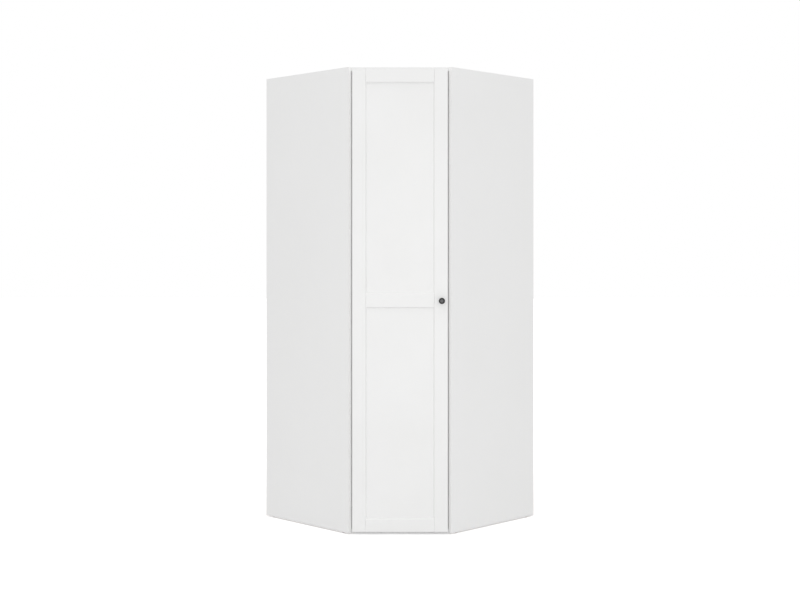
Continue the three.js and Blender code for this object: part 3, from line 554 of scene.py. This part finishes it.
HARDBOARD_FINISH = back_hardboard()
print("finish:", HARDBOARD_FINISH.name)

# %% [markdown]
# ## Pine of the post
#
# A planed softwood post stands in the rear corner, and a short cleat on it carries the shelf.
# Softwood shows light early wood between darker, thin lines of late wood that run up the post.
# A wave texture across the post gives those lines, and noise bends them. The place is scaled
# along the height first, so that the lines stay long, as they do in a sawn trunk.

# %% Pine
PINE_LIGHT = (0.80, 0.66, 0.47, 1)
PINE_DARK = (0.58, 0.40, 0.23, 1)
TRUNK_LAY = (1, 1, 0.06)
RING_SCALE = 39.7887  # sets the lines of late wood about 11 mm apart
LATE_SHARPNESS = 3.0
LATE_SHARE = 0.75
PORE_LAY = (1, 1, 0.03)
PORE_SIZE = 0.5 * MM
PORE_DEPTH = 0.05 * MM
PORE_SHARE = 0.25
PINE_GLOSS = (0.55, 0.72)


def planed_pine():
    material, tree, shader, place, _ = new_finish("planed_pine", {"Specular IOR Level": 0.35})
    wave = {
        "Vector": stretched(tree, place, TRUNK_LAY),
        "Scale": RING_SCALE,
        "Distortion": 5.0,
        "Detail": 3.0,
        "Detail Scale": 1.5,
    }
    rings = add(tree, "ShaderNodeTexWave", wave, bands_direction="DIAGONAL").outputs["Fac"]
    late = math_of(tree, "POWER", rings, LATE_SHARPNESS)
    pores = noise(tree, stretched(tree, place, PORE_LAY), PORE_SIZE, 3.0)
    pore_shade = spread(tree, pores, 0, PORE_SHARE)
    share = math_of(tree, "ADD", math_of(tree, "MULTIPLY", late, LATE_SHARE), pore_shade)
    sockets = {
        "Base Color": mixed(tree, share, PINE_LIGHT, PINE_DARK),
        "Roughness": spread(tree, pores, *PINE_GLOSS),
        "Normal": bumped(tree, pores, PORE_DEPTH, 0.6),
    }
    finish_with(tree, shader, sockets)
    return material


PINE_FINISH = planed_pine()
print("finish:", PINE_FINISH.name)

# %% [markdown]
# ## Metals
#
# Three metals are on this cupboard. The knob is zinc under a black powder coat, which melts into
# fine pebbles and shines softly. Its face is lighter than its rim, most of all in a ring round the
# middle: a painted reflection, a lighter metallic colour put where the dished face mirrors the
# lamps. The ring follows the distance from the knob's axis, and only on what faces the front. The
# hinges, angles and cams are steel with a satin nickel layer, drawn through rollers, so their fine
# lines run one way. The clothes rail is chromed tube, brushed along its length and dulled by
# hangers.
# One function makes the two bright metals, because they differ only in numbers.

# %% Metals
COAT_BLACK = (0.008, 0.008, 0.009, 1)
COAT_WORN = (0.016, 0.016, 0.017, 1)
# painted reflection: a lighter metallic colour on the ring where the knob's face mirrors the lamps
COAT_PAINTED_REFLECTION = (0.125, 0.125, 0.127, 1)
COAT_WEAR = 6 * MM
COAT_GLOSS = (0.34, 0.46)
PEBBLE_SIZE = 0.45 * MM
PEBBLE_DEPTH = 0.03 * MM
REFLECTION_RING_RADIUS = 5.5 * MM
REFLECTION_RING_HALF = 4 * MM
REFLECTION_RING_MIDDLE = 0.6
FRONT_LIMIT = 0.8  # cosine of 37 degrees
NICKEL = ((0.66, 0.655, 0.64, 1), (0.56, 0.555, 0.545, 1))
CHROME = ((0.74, 0.75, 0.76, 1), (0.68, 0.69, 0.70, 1))
METAL_LINE = 0.35 * MM
METAL_STAIN = 9 * MM


def painted_reflection_ring(tree, place, facing):
    """1 on a ring of painted reflection round the knob's axis, less inside and out, on forward
    faces.
    """
    flat = Vector((1, 0, 1))
    level = add(tree, "ShaderNodeVectorMath", {0: place, 1: flat}, operation="MULTIPLY")
    axis = centre_of("knob") * flat
    reach = add(tree, "ShaderNodeVectorMath", {0: level.outputs[0], 1: axis}, operation="DISTANCE")
    radius = reach.outputs["Value"]
    inner = spread(tree, radius, REFLECTION_RING_MIDDLE, 1.0, start=0.0, end=REFLECTION_RING_RADIUS)
    outer = spread(tree, radius, 1.0, 0.0, start=REFLECTION_RING_RADIUS, end=REFLECTION_RING_RADIUS + REFLECTION_RING_HALF)
    forward = faces(tree, facing, FORWARD, FRONT_LIMIT)
    return math_of(tree, "MULTIPLY", math_of(tree, "MULTIPLY", inner, outer), forward)


def powder_coat():
    uniform = {"Specular IOR Level": 0.4}
    material, tree, shader, place, facing = new_finish("black_powder_coat", uniform)
    pebbles = noise(tree, place, PEBBLE_SIZE)
    wear = spread(tree, noise(tree, place, COAT_WEAR, 3.0), 0, 1, start=0.45, end=0.75)
    coat = mixed(tree, wear, COAT_BLACK, COAT_WORN)
    # the ring of painted reflection, as lighter colour and as metal
    painted_reflection = painted_reflection_ring(tree, place, facing)
    sockets = {
        "Base Color": mixed(tree, painted_reflection, coat, COAT_PAINTED_REFLECTION),
        "Metallic": painted_reflection,
        "Roughness": spread(tree, pebbles, *COAT_GLOSS),
        "Normal": bumped(tree, pebbles, PEBBLE_DEPTH, 0.7),
    }
    finish_with(tree, shader, sockets)
    return material


def bright_metal(name, colours, gloss, line_stretch, line_depth):
    material, tree, shader, place, _ = new_finish(name, {"Metallic": 1.0})
    lines = noise(tree, stretched(tree, place, line_stretch), METAL_LINE, 3.0)
    stains = noise(tree, place, METAL_STAIN, 3.0)
    sockets = {
        "Base Color": mixed(tree, spread(tree, stains, 0, 1), *colours),
        "Roughness": spread(tree, math_of(tree, "ADD", lines, stains), *gloss, start=0.7, end=1.3),
        "Normal": bumped(tree, lines, line_depth, 0.5),
    }
    finish_with(tree, shader, sockets)
    return material


COAT_FINISH = powder_coat()
NICKEL_FINISH = bright_metal("satin_nickel", NICKEL, (0.24, 0.38), (1, 1, 0.08), 0.012 * MM)
CHROME_FINISH = bright_metal("chromed_tube", CHROME, (0.16, 0.28), (0.05, 1, 1), 0.002 * MM)
print("finishes:", COAT_FINISH.name, NICKEL_FINISH.name, CHROME_FINISH.name)

# %% [markdown]
# ## Plastic glides and soft bumpers
#
# The glides under the boards are white polyethylene: waxy, softly glossy and a little uneven
# from the mould. The bumpers behind the door are clear soft plastic, which lets some light in.
# Light that wanders under the surface is what sets such plastics apart from white paint, so the
# glides have a little of it. The bumpers let about half of the light straight through instead.

# %% Plastics
MILKY = (0.80, 0.80, 0.78, 1)
MILKY_SHADE = (0.74, 0.74, 0.72, 1)
CLEAR = (0.78, 0.79, 0.79, 1)
CLEAR_SHADE = (0.70, 0.71, 0.71, 1)
PLASTIC_PATCH = 3 * MM
SKIN_SIZE = 0.4 * MM
SKIN_DEPTH = 0.01 * MM


def soft_plastic(name, colours, gloss, uniform):
    material, tree, shader, place, _ = new_finish(name, uniform)
    patches = noise(tree, place, PLASTIC_PATCH)
    skin = noise(tree, place, SKIN_SIZE)
    sockets = {
        "Base Color": mixed(tree, spread(tree, patches, 0, 1), *colours),
        "Roughness": spread(tree, skin, *gloss),
        "Normal": bumped(tree, skin, SKIN_DEPTH, 0.5),
    }
    finish_with(tree, shader, sockets)
    return material


GLIDE_UNIFORM = {"Subsurface Weight": 0.15, "Subsurface Scale": 2 * MM}
BUMPER_UNIFORM = {"Transmission Weight": 0.45, "IOR": 1.45}
PLASTIC_FINISH = soft_plastic("milky_plastic", (MILKY, MILKY_SHADE), (0.38, 0.5), GLIDE_UNIFORM)
RUBBER_FINISH = soft_plastic("clear_bumper", (CLEAR, CLEAR_SHADE), (0.25, 0.4), BUMPER_UNIFORM)
print("finishes:", PLASTIC_FINISH.name, RUBBER_FINISH.name)

# %% [markdown]
# ## Soft edges on boards and door
#
# No edge on furniture is a knife: a strip is rounded by half a millimetre, and foil is drawn
# round a corner. That tiny round is what catches the light along a board. It could be modelled
# edge by edge, but a Bevel modifier that looks for sharp angles does it everywhere at once. The
# CAD pieces come as loose triangles, so two modifiers go before it: one welds their corners, and
# one dissolves the lines that cross flat faces. The meshes themselves stay as they came.

# %% Soften the boards
WELD = 2e-6  # metres
FLAT_ANGLE = math.radians(0.5)
EDGE_ANGLE = math.radians(32)
EDGE_STEPS = 2


def round_edges(piece, width, angle):
    """Rounds the edges that turn by more than an angle, and returns the modifier."""
    bevel = piece.modifiers.new("round_edges", "BEVEL")
    bevel.limit_method = "ANGLE"
    bevel.angle_limit = angle
    bevel.width = width
    bevel.segments = EDGE_STEPS
    return bevel


def soften(piece, width):
    """Welds a CAD piece, clears the lines on its flat faces, and rounds its edges."""
    weld = piece.modifiers.new("weld_corners", "WELD")
    weld.merge_threshold = WELD
    clean = piece.modifiers.new("clean_faces", "DECIMATE")
    clean.decimate_type = "DISSOLVE"
    clean.angle_limit = FLAT_ANGLE
    round_edges(piece, width, EDGE_ANGLE)


def dress(node, finish, edge):
    """Gives a CAD piece its finish and its soft edges."""
    piece = frame["nodes"][node]
    for place in piece.material_slots:
        place.material = finish
    soften(piece, edge)


STRIP_ROUND = 0.6 * MM
FOIL_ROUND = 0.5 * MM
WOOD_ROUND = 0.8 * MM
SHEET_ROUND = 0.2 * MM

dressed = {}
for side in ("left", "right"):
    dressed[f"side_panel_{side}"] = (PANEL_FINISH[side], STRIP_ROUND)
    dressed[f"back_panel_{side}"] = (HARDBOARD_FINISH, SHEET_ROUND)
    dressed[f"door_stile_{side}"] = (FOIL_FINISH, FOIL_ROUND)
for node in ("top_board", "bottom_board", "hat_shelf"):
    dressed[node] = (BOARD_FINISH, STRIP_ROUND)
for node in ("door_rail_bottom", "door_rail_middle", "door_rail_top"):
    dressed[node] = (FOIL_FINISH, FOIL_ROUND)
for node in ("door_panel_lower", "door_panel_upper"):
    dressed[node] = (FOIL_FINISH, SHEET_ROUND)
for node in ("corner_post", "shelf_cleat"):
    dressed[node] = (PINE_FINISH, WOOD_ROUND)
for node, (finish, edge) in dressed.items():
    dress(node, finish, edge)
print("boards and door pieces with soft edges:", len(dressed))

# %% [markdown]
# ## Small fittings with smooth rounds
#
# The CAD model builds a round cup or pin from flat facets. Near the eye those facets show, so
# the small fittings are replaced by copies that keep the same size. A copy is welded, its flat
# faces are cleaned, and every gentle turn between two facets is shaded as one round, while real
# corners stay sharp and get a fine bevel. That is quicker than modelling forty fittings again,
# and it can't put one of them in a wrong place.

# %% Smooth copies
FACET_ANGLE = math.radians(34)
METAL_ROUND = 0.25 * MM
PLASTIC_ROUND = 0.5 * MM


def shade(work):
    """Shades every face smooth, up to the real corners."""
    for face in work.faces:
        face.smooth = True
    for edge in work.edges:
        edge.smooth = edge.calc_face_angle(0.0) < FACET_ANGLE


def smooth_mesh(mesh):
    """Welds a mesh, cleans its flat faces, and shades all but its real corners smooth."""
    work = bmesh.new()
    work.from_mesh(mesh)
    bmesh.ops.remove_doubles(work, verts=work.verts, dist=WELD)
    bmesh.ops.dissolve_limit(work, angle_limit=FLAT_ANGLE, verts=work.verts, edges=work.edges)
    shade(work)
    work.to_mesh(mesh)
    work.free()


def smooth_copy(node, finish, edge):
    """Stands a smooth copy in for one CAD fitting, on the same body."""
    source = frame["nodes"][node]
    mesh = source.data.copy()
    mesh.name = f"{node}_smooth"
    mesh.attributes.remove(mesh.attributes["custom_normal"])
    smooth_mesh(mesh)
    mesh.materials.clear()
    mesh.materials.append(finish)
    piece = new_object(mesh.name, mesh)
    round_edges(piece, edge, FACET_ANGLE).harden_normals = True
    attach(piece, source["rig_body"])
    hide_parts(node)


SMOOTH_KINDS = {
    "glide_": (PLASTIC_FINISH, "plastic", PLASTIC_ROUND),
    "bumper_": (RUBBER_FINISH, "rubber", PLASTIC_ROUND),
    "rail_hanger_": (CHROME_FINISH, "chrome", METAL_ROUND),
}
for start in ("cam_lock_", "shelf_pin_", "hinge_", "wall_angle_", "knob_screw"):
    SMOOTH_KINDS[start] = (NICKEL_FINISH, "steel", METAL_ROUND)
copied = 0
for node in sorted(frame["nodes"]):
    for start, (finish, slot, edge) in SMOOTH_KINDS.items():
        if node.startswith(start):
            smooth_copy(node, finish, edge)
            copied += 1
print("fittings with smooth copies:", copied)

# %% [markdown]
# ## The knob
#
# The knob is turned: a foot, a slim neck, and a wide head whose rim stands round a dished face.
# On a lathe its shape is one outline, and it is one outline here too, spun round the knob's
# axis. The CAD knob has a few steps on each curve; this one has many, because its small rim
# mirrors the lamps and shows every corner.

# %% Turned knob
KNOB_STEPS = 12
KNOB_FOOT_STEPS = 4
KNOB_SIDES = 72
KNOB_FOOT = 2 * MM
KNOB_FOOT_RADIUS = 8 * MM
KNOB_FOOT_ROUND = 0.6 * MM
KNOB_NECK_RADIUS = 5.5 * MM
KNOB_HEAD = 9 * MM
KNOB_RIM = 2.5 * MM
KNOB_RIM_ROUND = 1.2 * MM
KNOB_DISH = 2 * MM

knob_low, knob_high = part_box("knob")
KNOB_RADIUS = (knob_high.x - knob_low.x) / 2
KNOB_LENGTH = knob_high.y - knob_low.y


def quarter(centre, radius, steps):
    """Points on a quarter of an oval, as distance from the axis and height over the foot."""
    points = []
    for step in range(steps + 1):
        turn = math.radians(90 * step / steps)
        reach, rise = radius[0] * math.cos(turn), radius[1] * math.sin(turn)
        points.append((centre[0] + reach, centre[1] + rise))
    return points


def knob_outline():
    """From the axis under the foot, round the outside, to the middle of the dished face."""
    head_start = KNOB_LENGTH - KNOB_HEAD
    head_curve = (KNOB_NECK_RADIUS - KNOB_RADIUS, (KNOB_HEAD - KNOB_RIM_ROUND) / 2)
    foot_centre = (KNOB_FOOT_RADIUS - KNOB_FOOT_ROUND, KNOB_FOOT - KNOB_FOOT_ROUND)
    rim_centre = (KNOB_RADIUS - KNOB_RIM_ROUND, KNOB_LENGTH - KNOB_RIM_ROUND)
    outline = [(0, 0), (KNOB_FOOT_RADIUS, 0)]
    outline += quarter(foot_centre, (KNOB_FOOT_ROUND, KNOB_FOOT_ROUND), KNOB_FOOT_STEPS)
    outline += [(KNOB_NECK_RADIUS, KNOB_FOOT)]
    outline += quarter((KNOB_RADIUS, head_start), head_curve, KNOB_STEPS)
    outline += quarter(rim_centre, (KNOB_RIM_ROUND, KNOB_RIM_ROUND), KNOB_STEPS)
    dish = KNOB_RADIUS - KNOB_RIM
    for step in range(KNOB_STEPS, -1, -1):
        share = step / KNOB_STEPS
        outline.append((dish * share, KNOB_LENGTH - KNOB_DISH * (1 - share * share)))
    return outline


def turned(name, outline, axis_foot, direction):
    """Spins an outline, which starts and ends on its axis, and lays the axis along a direction."""
    work = bmesh.new()
    points = [work.verts.new((radius, 0, height)) for radius, height in outline]
    edges = [work.edges.new(pair) for pair in zip(points, points[1:])]
    spin = {"axis": UP, "cent": (0, 0, 0), "angle": 2 * math.pi, "steps": KNOB_SIDES}
    bmesh.ops.spin(work, geom=points + edges, use_duplicate=False, **spin)
    bmesh.ops.remove_doubles(work, verts=work.verts, dist=WELD)
    bmesh.ops.recalc_face_normals(work, faces=work.faces)
    shade(work)
    mesh = bpy.data.meshes.new(name)
    work.to_mesh(mesh)
    work.free()
    turn = direction.to_track_quat("Z", "Y").to_matrix().to_4x4()
    mesh.transform(Matrix.Translation(axis_foot) @ turn)
    return mesh


def turned_knob():
    centre = centre_of("knob")
    foot = Vector((centre.x, knob_high.y, centre.z))
    mesh = turned("knob_turned", knob_outline(), foot, FORWARD)
    mesh.materials.append(COAT_FINISH)
    piece = new_object("knob_turned", mesh)
    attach(piece, "door")
    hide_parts("knob")
    return len(mesh.polygons)


print("faces of the knob:", turned_knob())

# %% [markdown]
# ## Growing parts with Geometry Nodes
#
# What repeats, or follows a rule, is grown by a tree of Geometry Nodes. Each tree has named
# inputs for its sizes, so the same tree serves screws of several sizes. The last helper runs a
# tree on a small base mesh and keeps the plain mesh that comes out, because only plain meshes
# are carried out of the scene. An input has to be set by its identifier, before anything looks
# at the result.


# %% Geometry Nodes helpers
def new_growth(name, *lengths):
    """An empty Geometry Nodes tree, with a named input for each length and for the finish."""
    tree = bpy.data.node_groups.new(name, "GeometryNodeTree")
    kinds = {"Geometry": "NodeSocketGeometry"} | dict.fromkeys(lengths, "NodeSocketFloat")
    for label, kind in (kinds | {"Finish": "NodeSocketMaterial"}).items():
        tree.interface.new_socket(label, in_out="INPUT", socket_type=kind)
    tree.interface.new_socket("Geometry", in_out="OUTPUT", socket_type="NodeSocketGeometry")
    return tree, add(tree, "NodeGroupInput").outputs


def end_growth(tree, geometry, finish):
    """Every tree ends alike: real copies instead of instances, then the finish."""
    real = add(tree, "GeometryNodeRealizeInstances", {"Geometry": geometry})
    last = {"Geometry": real.outputs[0], "Material": finish}
    covered = add(tree, "GeometryNodeSetMaterial", last)
    add(tree, "NodeGroupOutput", {"Geometry": covered.outputs[0]})


def grow(name, base, tree, values):
    """Runs a tree on a base mesh and returns the result as a plain mesh object."""
    holder = new_object(f"{name}_base", base)
    growth = holder.modifiers.new("growth", "NODES")
    growth.node_group = tree
    for item in tree.interface.items_tree:
        if item.in_out == "INPUT" and item.name in values:
            growth[item.identifier] = values[item.name]
    graph = bpy.context.evaluated_depsgraph_get()
    mesh = bpy.data.meshes.new_from_object(holder.evaluated_get(graph))
    bpy.data.objects.remove(holder)
    mesh.name = name
    return new_object(name, mesh)


# %% [markdown]
# ## The clothes rail
#
# The rail is a steel tube with an oval section. Its shape follows one rule: the wall's section,
# a long thin rectangle, goes once round an oval. So a rectangle with rounded corners makes the
# oval, and Curve to Mesh sweeps the wall along it. Drawing the tube the other way, along its
# length, would need a second, inner tube and two rings to close the ends.

# %% Clothes rail
RAIL_WALL = 1.2 * MM
RAIL_ROUND_STEPS = 14
RAIL_END_ROUND = 0.35 * MM
RAIL_END_STEPS = 3
NEAR_HALF = 0.4999  # two fillets of just half a side would meet in one point
UPRIGHT_TO_RAIL = Matrix(((0, 0, 1, 0), (0, 1, 0, 0), (-1, 0, 0, 0), (0, 0, 0, 1)))


def soft_rectangle(tree, width, height, radius, steps):
    """A rectangle with rounded corners, as a curve."""
    sides = {"Width": width, "Height": height}
    sharp = add(tree, "GeometryNodeCurvePrimitiveQuadrilateral", sides).outputs[0]
    fillet = {"Curve": sharp, "Radius": radius, "Count": steps}
    return add(tree, "GeometryNodeFilletCurve", fillet, mode="POLY").outputs[0]


def rail_growth():
    tree, size = new_growth("oval_tube", "Height", "Thickness", "Length", "Wall", "End round")
    height = math_of(tree, "SUBTRACT", size["Height"], size["Wall"])
    thickness = math_of(tree, "SUBTRACT", size["Thickness"], size["Wall"])
    bend = math_of(tree, "MULTIPLY", thickness, NEAR_HALF)
    oval = soft_rectangle(tree, height, thickness, bend, RAIL_ROUND_STEPS)
    section = (size["Wall"], size["Length"], size["End round"], RAIL_END_STEPS)
    wall = soft_rectangle(tree, *section)
    tube = add(tree, "GeometryNodeCurveToMesh", {"Curve": oval, "Profile Curve": wall})
    end_growth(tree, tube.outputs[0], size["Finish"])
    return tree


def clothes_rail():
    low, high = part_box("clothes_rail")
    values = {
        "Height": high.z - low.z,
        "Thickness": high.y - low.y,
        "Length": high.x - low.x,
        "Wall": RAIL_WALL,
        "End round": RAIL_END_ROUND,
        "Finish": CHROME_FINISH,
    }
    piece = grow("clothes_rail_tube", bpy.data.meshes.new("rail_base"), rail_growth(), values)
    piece.data.transform(Matrix.Translation((low + high) / 2) @ UPRIGHT_TO_RAIL)
    smooth_mesh(piece.data)
    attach(piece, "cabinet")
    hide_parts("clothes_rail")
    reach = [max(v.co[axis] for v in piece.data.vertices) for axis in range(3)]
    return [round((a - b) / MM, 2) for a, b in zip(reach, high)]


print("rail against its CAD box, in millimetres:", clothes_rail())

# %% [markdown]
# ## Screws
#
# Small cross-recessed screws hold the hinges and what hangs: two in each hinge cup, two in each
# mounting plate, two in each hinge arm for adjusting, two in each hanger of the rail and one in
# each wall angle. A screw is a flat dome with a cross cut into it. The dome is half a squashed
# sphere, and two bars cut the cross. One tree sets a screw on every point of a base mesh, looks
# up which way the point faces, and turns each screw by a chance angle, because nobody lines up
# the slots.

# %% Screw tree
DOME_SIDES = 20
DOME_RINGS = 12
SCREW_SEED = 7
CUT_AWAY = 3.0  # block that takes the ball's lower half, in screw radii
SLOT_LENGTH = 1.15  # in screw radii


def facing_rotation(tree):
    """Turns a copy's +Z to the direction that is stored with its point."""
    name = {"Name": "facing"}
    facing = add(tree, "GeometryNodeInputNamedAttribute", name, data_type="FLOAT_VECTOR")
    upright = {"Vector": facing.outputs["Attribute"]}
    return add(tree, "FunctionNodeAlignRotationToVector", upright, axis="Z").outputs[0]


def with_chance_twist(tree, rotation):
    """Adds a chance turn round the copy's own +Z. The node's input 3 is its largest value."""
    limits = {"Seed": SCREW_SEED, 3: math.pi}
    chance = add(tree, "FunctionNodeRandomValue", limits, data_type="FLOAT").outputs[1]
    twist = {"Axis": (0, 0, 1), "Angle": chance}
    spun = add(tree, "FunctionNodeAxisAngleToRotation", twist).outputs[0]
    both = {"Rotation": rotation, "Rotate By": spun}
    return add(tree, "FunctionNodeRotateRotation", both, rotation_space="LOCAL").outputs[0]


def screw_growth():
    tree, size = new_growth("cross_screws", "Radius", "Dome", "Slot width", "Slot depth")

    def vector(**axes):
        return add(tree, "ShaderNodeCombineXYZ", axes).outputs[0]

    def block(width, depth, height, lift):
        cube = add(tree, "GeometryNodeMeshCube", {"Size": vector(X=width, Y=depth, Z=height)})
        moved = {"Geometry": cube.outputs[0], "Translation": vector(Z=lift)}
        return add(tree, "GeometryNodeTransform", moved).outputs[0]

    sphere = {"Segments": DOME_SIDES, "Rings": DOME_RINGS, "Radius": 1.0}
    ball = add(tree, "GeometryNodeMeshUVSphere", sphere).outputs["Mesh"]
    shape = vector(X=size["Radius"], Y=size["Radius"], Z=size["Dome"])
    dome = add(tree, "GeometryNodeTransform", {"Geometry": ball, "Scale": shape}).outputs[0]
    wide = math_of(tree, "MULTIPLY", size["Radius"], CUT_AWAY)
    length = math_of(tree, "MULTIPLY", size["Radius"], SLOT_LENGTH)
    lower_half = block(wide, wide, wide, math_of(tree, "MULTIPLY", wide, -0.5))
    bar_one = block(length, size["Slot width"], size["Slot depth"], size["Dome"])
    bar_two = block(size["Slot width"], length, size["Slot depth"], size["Dome"])
    options = {"operation": "DIFFERENCE", "solver": "EXACT"}
    cut = add(tree, "GeometryNodeMeshBoolean", {"Mesh 1": dome}, **options)
    for part in (lower_half, bar_one, bar_two):
        tree.links.new(part, cut.inputs["Mesh 2"])

    turn = with_chance_twist(tree, facing_rotation(tree))
    setting = {"Points": size["Geometry"], "Instance": cut.outputs[0], "Rotation": turn}
    heads = add(tree, "GeometryNodeInstanceOnPoints", setting)
    end_growth(tree, heads.outputs[0], size["Finish"])
    return tree


SCREW_TREE = screw_growth()
print("nodes in the screw tree:", len(SCREW_TREE.nodes))

# %% [markdown]
# Each group of screws is a list of places and the directions that they face. The places come
# from the fittings' boxes and from the directions of the left half, and the screws sink a tenth
# of a millimetre into what they hold, so that no light shows under their heads.

# %% Screws in their places
SCREW_SUNK = 0.1 * MM
SLOT_WIDTH = 0.26  # in screw radii
SLOT_HEIGHT = 1.1  # in dome heights; the bars' middle lies on the dome's top
CUP_EAR_BESIDE = 5.5 * MM
CUP_EAR_END = 6.5 * MM
SEAT_GAP = 0.3 * MM  # between pieces of the CAD model that touch
PLATE_WING = 2.5 * MM
PLATE_BODY = 10 * MM
ARM_METAL = 1.5 * MM
PLATE_FACE = BOARD + SEAT_GAP + PLATE_WING
ARM_FACE = BOARD + SEAT_GAP + PLATE_BODY + SEAT_GAP + ARM_METAL
PLATE_LINE = 37 * MM
PLATE_SCREW_RISE = 15 * MM
PLATE_SCREWS = ((PLATE_LINE, -PLATE_SCREW_RISE), (PLATE_LINE, PLATE_SCREW_RISE))
ARM_SCREWS = ((24 * MM, 0), (43 * MM, 0))
HANGER_SCREW_BESIDE = 15 * MM
HANGER_METAL = 2.5 * MM
ANGLE_METAL = 2 * MM
ANGLE_SCREW_OUT = 24 * MM
HINGES = sorted(node for node in frame["nodes"] if node.startswith("hinge_cup_"))


def facing_points(name, places, edges=()):
    """A base mesh of points. Each keeps the direction that its screw or nail faces."""
    mesh = bpy.data.meshes.new(name)
    mesh.from_pydata([point - facing * SCREW_SUNK for point, facing in places], edges, [])
    stored = mesh.attributes.new("facing", "FLOAT_VECTOR", "POINT")
    for slot, (_, facing) in zip(stored.data, places):
        slot.vector = facing
    return mesh


def screws(name, body, places, radius, dome):
    values = {
        "Radius": radius,
        "Dome": dome,
        "Slot width": radius * SLOT_WIDTH,
        "Slot depth": dome * SLOT_HEIGHT,
        "Finish": NICKEL_FINISH,
    }
    piece = grow(name, facing_points(f"{name}_points", places), SCREW_TREE, values)
    smooth_mesh(piece.data)
    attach(piece, body)
    print(name, "on", body, "-", len(places), "screws")


def cup_screw_places():
    places = []
    for cup in HINGES:
        low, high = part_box(cup)
        beside = centre_of(cup).x + CUP_EAR_BESIDE
        for height in (low.z + CUP_EAR_END, high.z - CUP_EAR_END):
            places.append((Vector((beside, high.y, height)), INWARD))
    return places


def side_screw_places(across, offsets):
    """Places over the side panel, some way deep from its edge and up from each hinge."""
    return [
        (wing(across, deep, centre_of(cup).z + rise), ACROSS)
        for cup in HINGES
        for deep, rise in offsets
    ]


def hanger_screw_places():
    places = []
    for hanger in ("rail_hanger_left", "rail_hanger_right"):
        middle = centre_of(hanger)
        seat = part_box(hanger)[1].z - HANGER_METAL
        for beside in (-HANGER_SCREW_BESIDE, HANGER_SCREW_BESIDE):
            places.append((Vector((middle.x, middle.y + beside, seat)), -UP))
    return places


def angle_screw_places():
    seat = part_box("wall_angle_left")[1].z - ANGLE_METAL
    left = wing(WALL_SIDE / 2, SIDE_DEPTH - BACK_SHEET - ANGLE_SCREW_OUT, seat)
    return [(left, -UP), (mirror(left), -UP)]


plate_places = side_screw_places(PLATE_FACE, PLATE_SCREWS)
arm_places = side_screw_places(ARM_FACE, ARM_SCREWS)
screws("hinge_cup_screws", "door", cup_screw_places(), 3.4 * MM, 1.3 * MM)
screws("hinge_plate_screws", "cabinet", plate_places, 3.8 * MM, 1.6 * MM)
screws("hinge_arm_screws", "cabinet", arm_places, 3.2 * MM, 1.2 * MM)
screws("rail_hanger_screws", "cabinet", hanger_screw_places(), 3.2 * MM, 1.4 * MM)
screws("wall_angle_screws", "cabinet", angle_screw_places(), 3.6 * MM, 1.6 * MM)

# %% [markdown]
# ## Nails of the back
#
# The back sheets are nailed into the side panels, the post, the top, the bottom and the shelf,
# one nail every fifteen centimetres. A row of nails is a line with points at equal steps, so the
# base mesh holds one edge for each row, and the tree turns the edges into curves, divides them
# and sets a low head on every point. The heads have few faces, because there are many of them.

# %% Nails
NAIL_SPACING = 150 * MM
NAIL_RADIUS = 2.6 * MM
NAIL_HEAD = 0.9 * MM
NAIL_TOP = 0.6  # in nail radii
NAIL_SIDES = 12
NAIL_MARGIN = 30 * MM
ROW_MARGIN = 105 * MM
REBATE_MIDDLE = 13.5 * MM
POST_MIDDLE = 26 * MM


def nail_growth():
    tree, size = new_growth("nail_rows", "Spacing", "Radius", "Head")
    rows = add(tree, "GeometryNodeMeshToCurve", {"Mesh": size["Geometry"]})
    steps = {"Curve": rows.outputs[0], "Length": size["Spacing"]}
    points = add(tree, "GeometryNodeResampleCurve", steps, mode="LENGTH").outputs[0]
    top = math_of(tree, "MULTIPLY", size["Radius"], NAIL_TOP)
    radii = {"Radius Top": top, "Radius Bottom": size["Radius"]}
    cone = {"Vertices": NAIL_SIDES, "Depth": size["Head"]} | radii
    head = add(tree, "GeometryNodeMeshCone", cone).outputs["Mesh"]
    setting = {"Points": points, "Instance": head, "Rotation": facing_rotation(tree)}
    nails = add(tree, "GeometryNodeInstanceOnPoints", setting)
    end_growth(tree, nails.outputs[0], size["Finish"])
    return tree


def nail_rows():
    """The ends of every row, with the direction that its nails face."""
    shelf = centre_of("hat_shelf").z
    low, high = UNDERSIDE + NAIL_MARGIN, TOP - NAIL_MARGIN
    near, far = REBATE_MIDDLE + ROW_MARGIN, WALL_SIDE - POST_MIDDLE - ROW_MARGIN
    rows = []
    for across in (REBATE_MIDDLE, WALL_SIDE - POST_MIDDLE):
        rows.append((wing(across, SIDE_DEPTH, low), wing(across, SIDE_DEPTH, high)))
    for height in (UNDERSIDE + BOARD / 2, shelf, TOP - BOARD / 2):
        rows.append((wing(near, SIDE_DEPTH, height), wing(far, SIDE_DEPTH, height)))
    left = [(start, end, DEEP) for start, end in rows]
    right = [(mirror(start), mirror(end), mirror(DEEP)) for start, end in rows]
    return left + right


def back_nails():
    places = []
    for start, end, facing in nail_rows():
        places += [(start, facing), (end, facing)]
    edges = [(index, index + 1) for index in range(0, len(places), 2)]
    base = facing_points("nail_points", places, edges)
    values = {"Spacing": NAIL_SPACING, "Radius": NAIL_RADIUS, "Head": NAIL_HEAD}
    piece = grow("back_nails", base, nail_growth(), values | {"Finish": NICKEL_FINISH})
    smooth_mesh(piece.data)
    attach(piece, "cabinet")
    return len(piece.data.polygons)


print("faces of all nails:", back_nails())

# %% [markdown]
# ## Measure and finish
#
# The last cell prints the box of the dressed object and the box of the CAD model. The two boxes
# should agree within a few millimetres: the finishes and small parts never change the size of the
# furniture.

# %% Measure and finish
LOOK_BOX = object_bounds()
for name, box in {"CAD": CAD_BOX, "look": LOOK_BOX}.items():
    print(name, "box in millimetres:", [round(value / MM, 1) for corner in box for value in corner])
triangles = 0
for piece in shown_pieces():
    triangles += sum(len(face.vertices) - 2 for face in piece.data.polygons)
print("triangles before modifiers:", triangles)
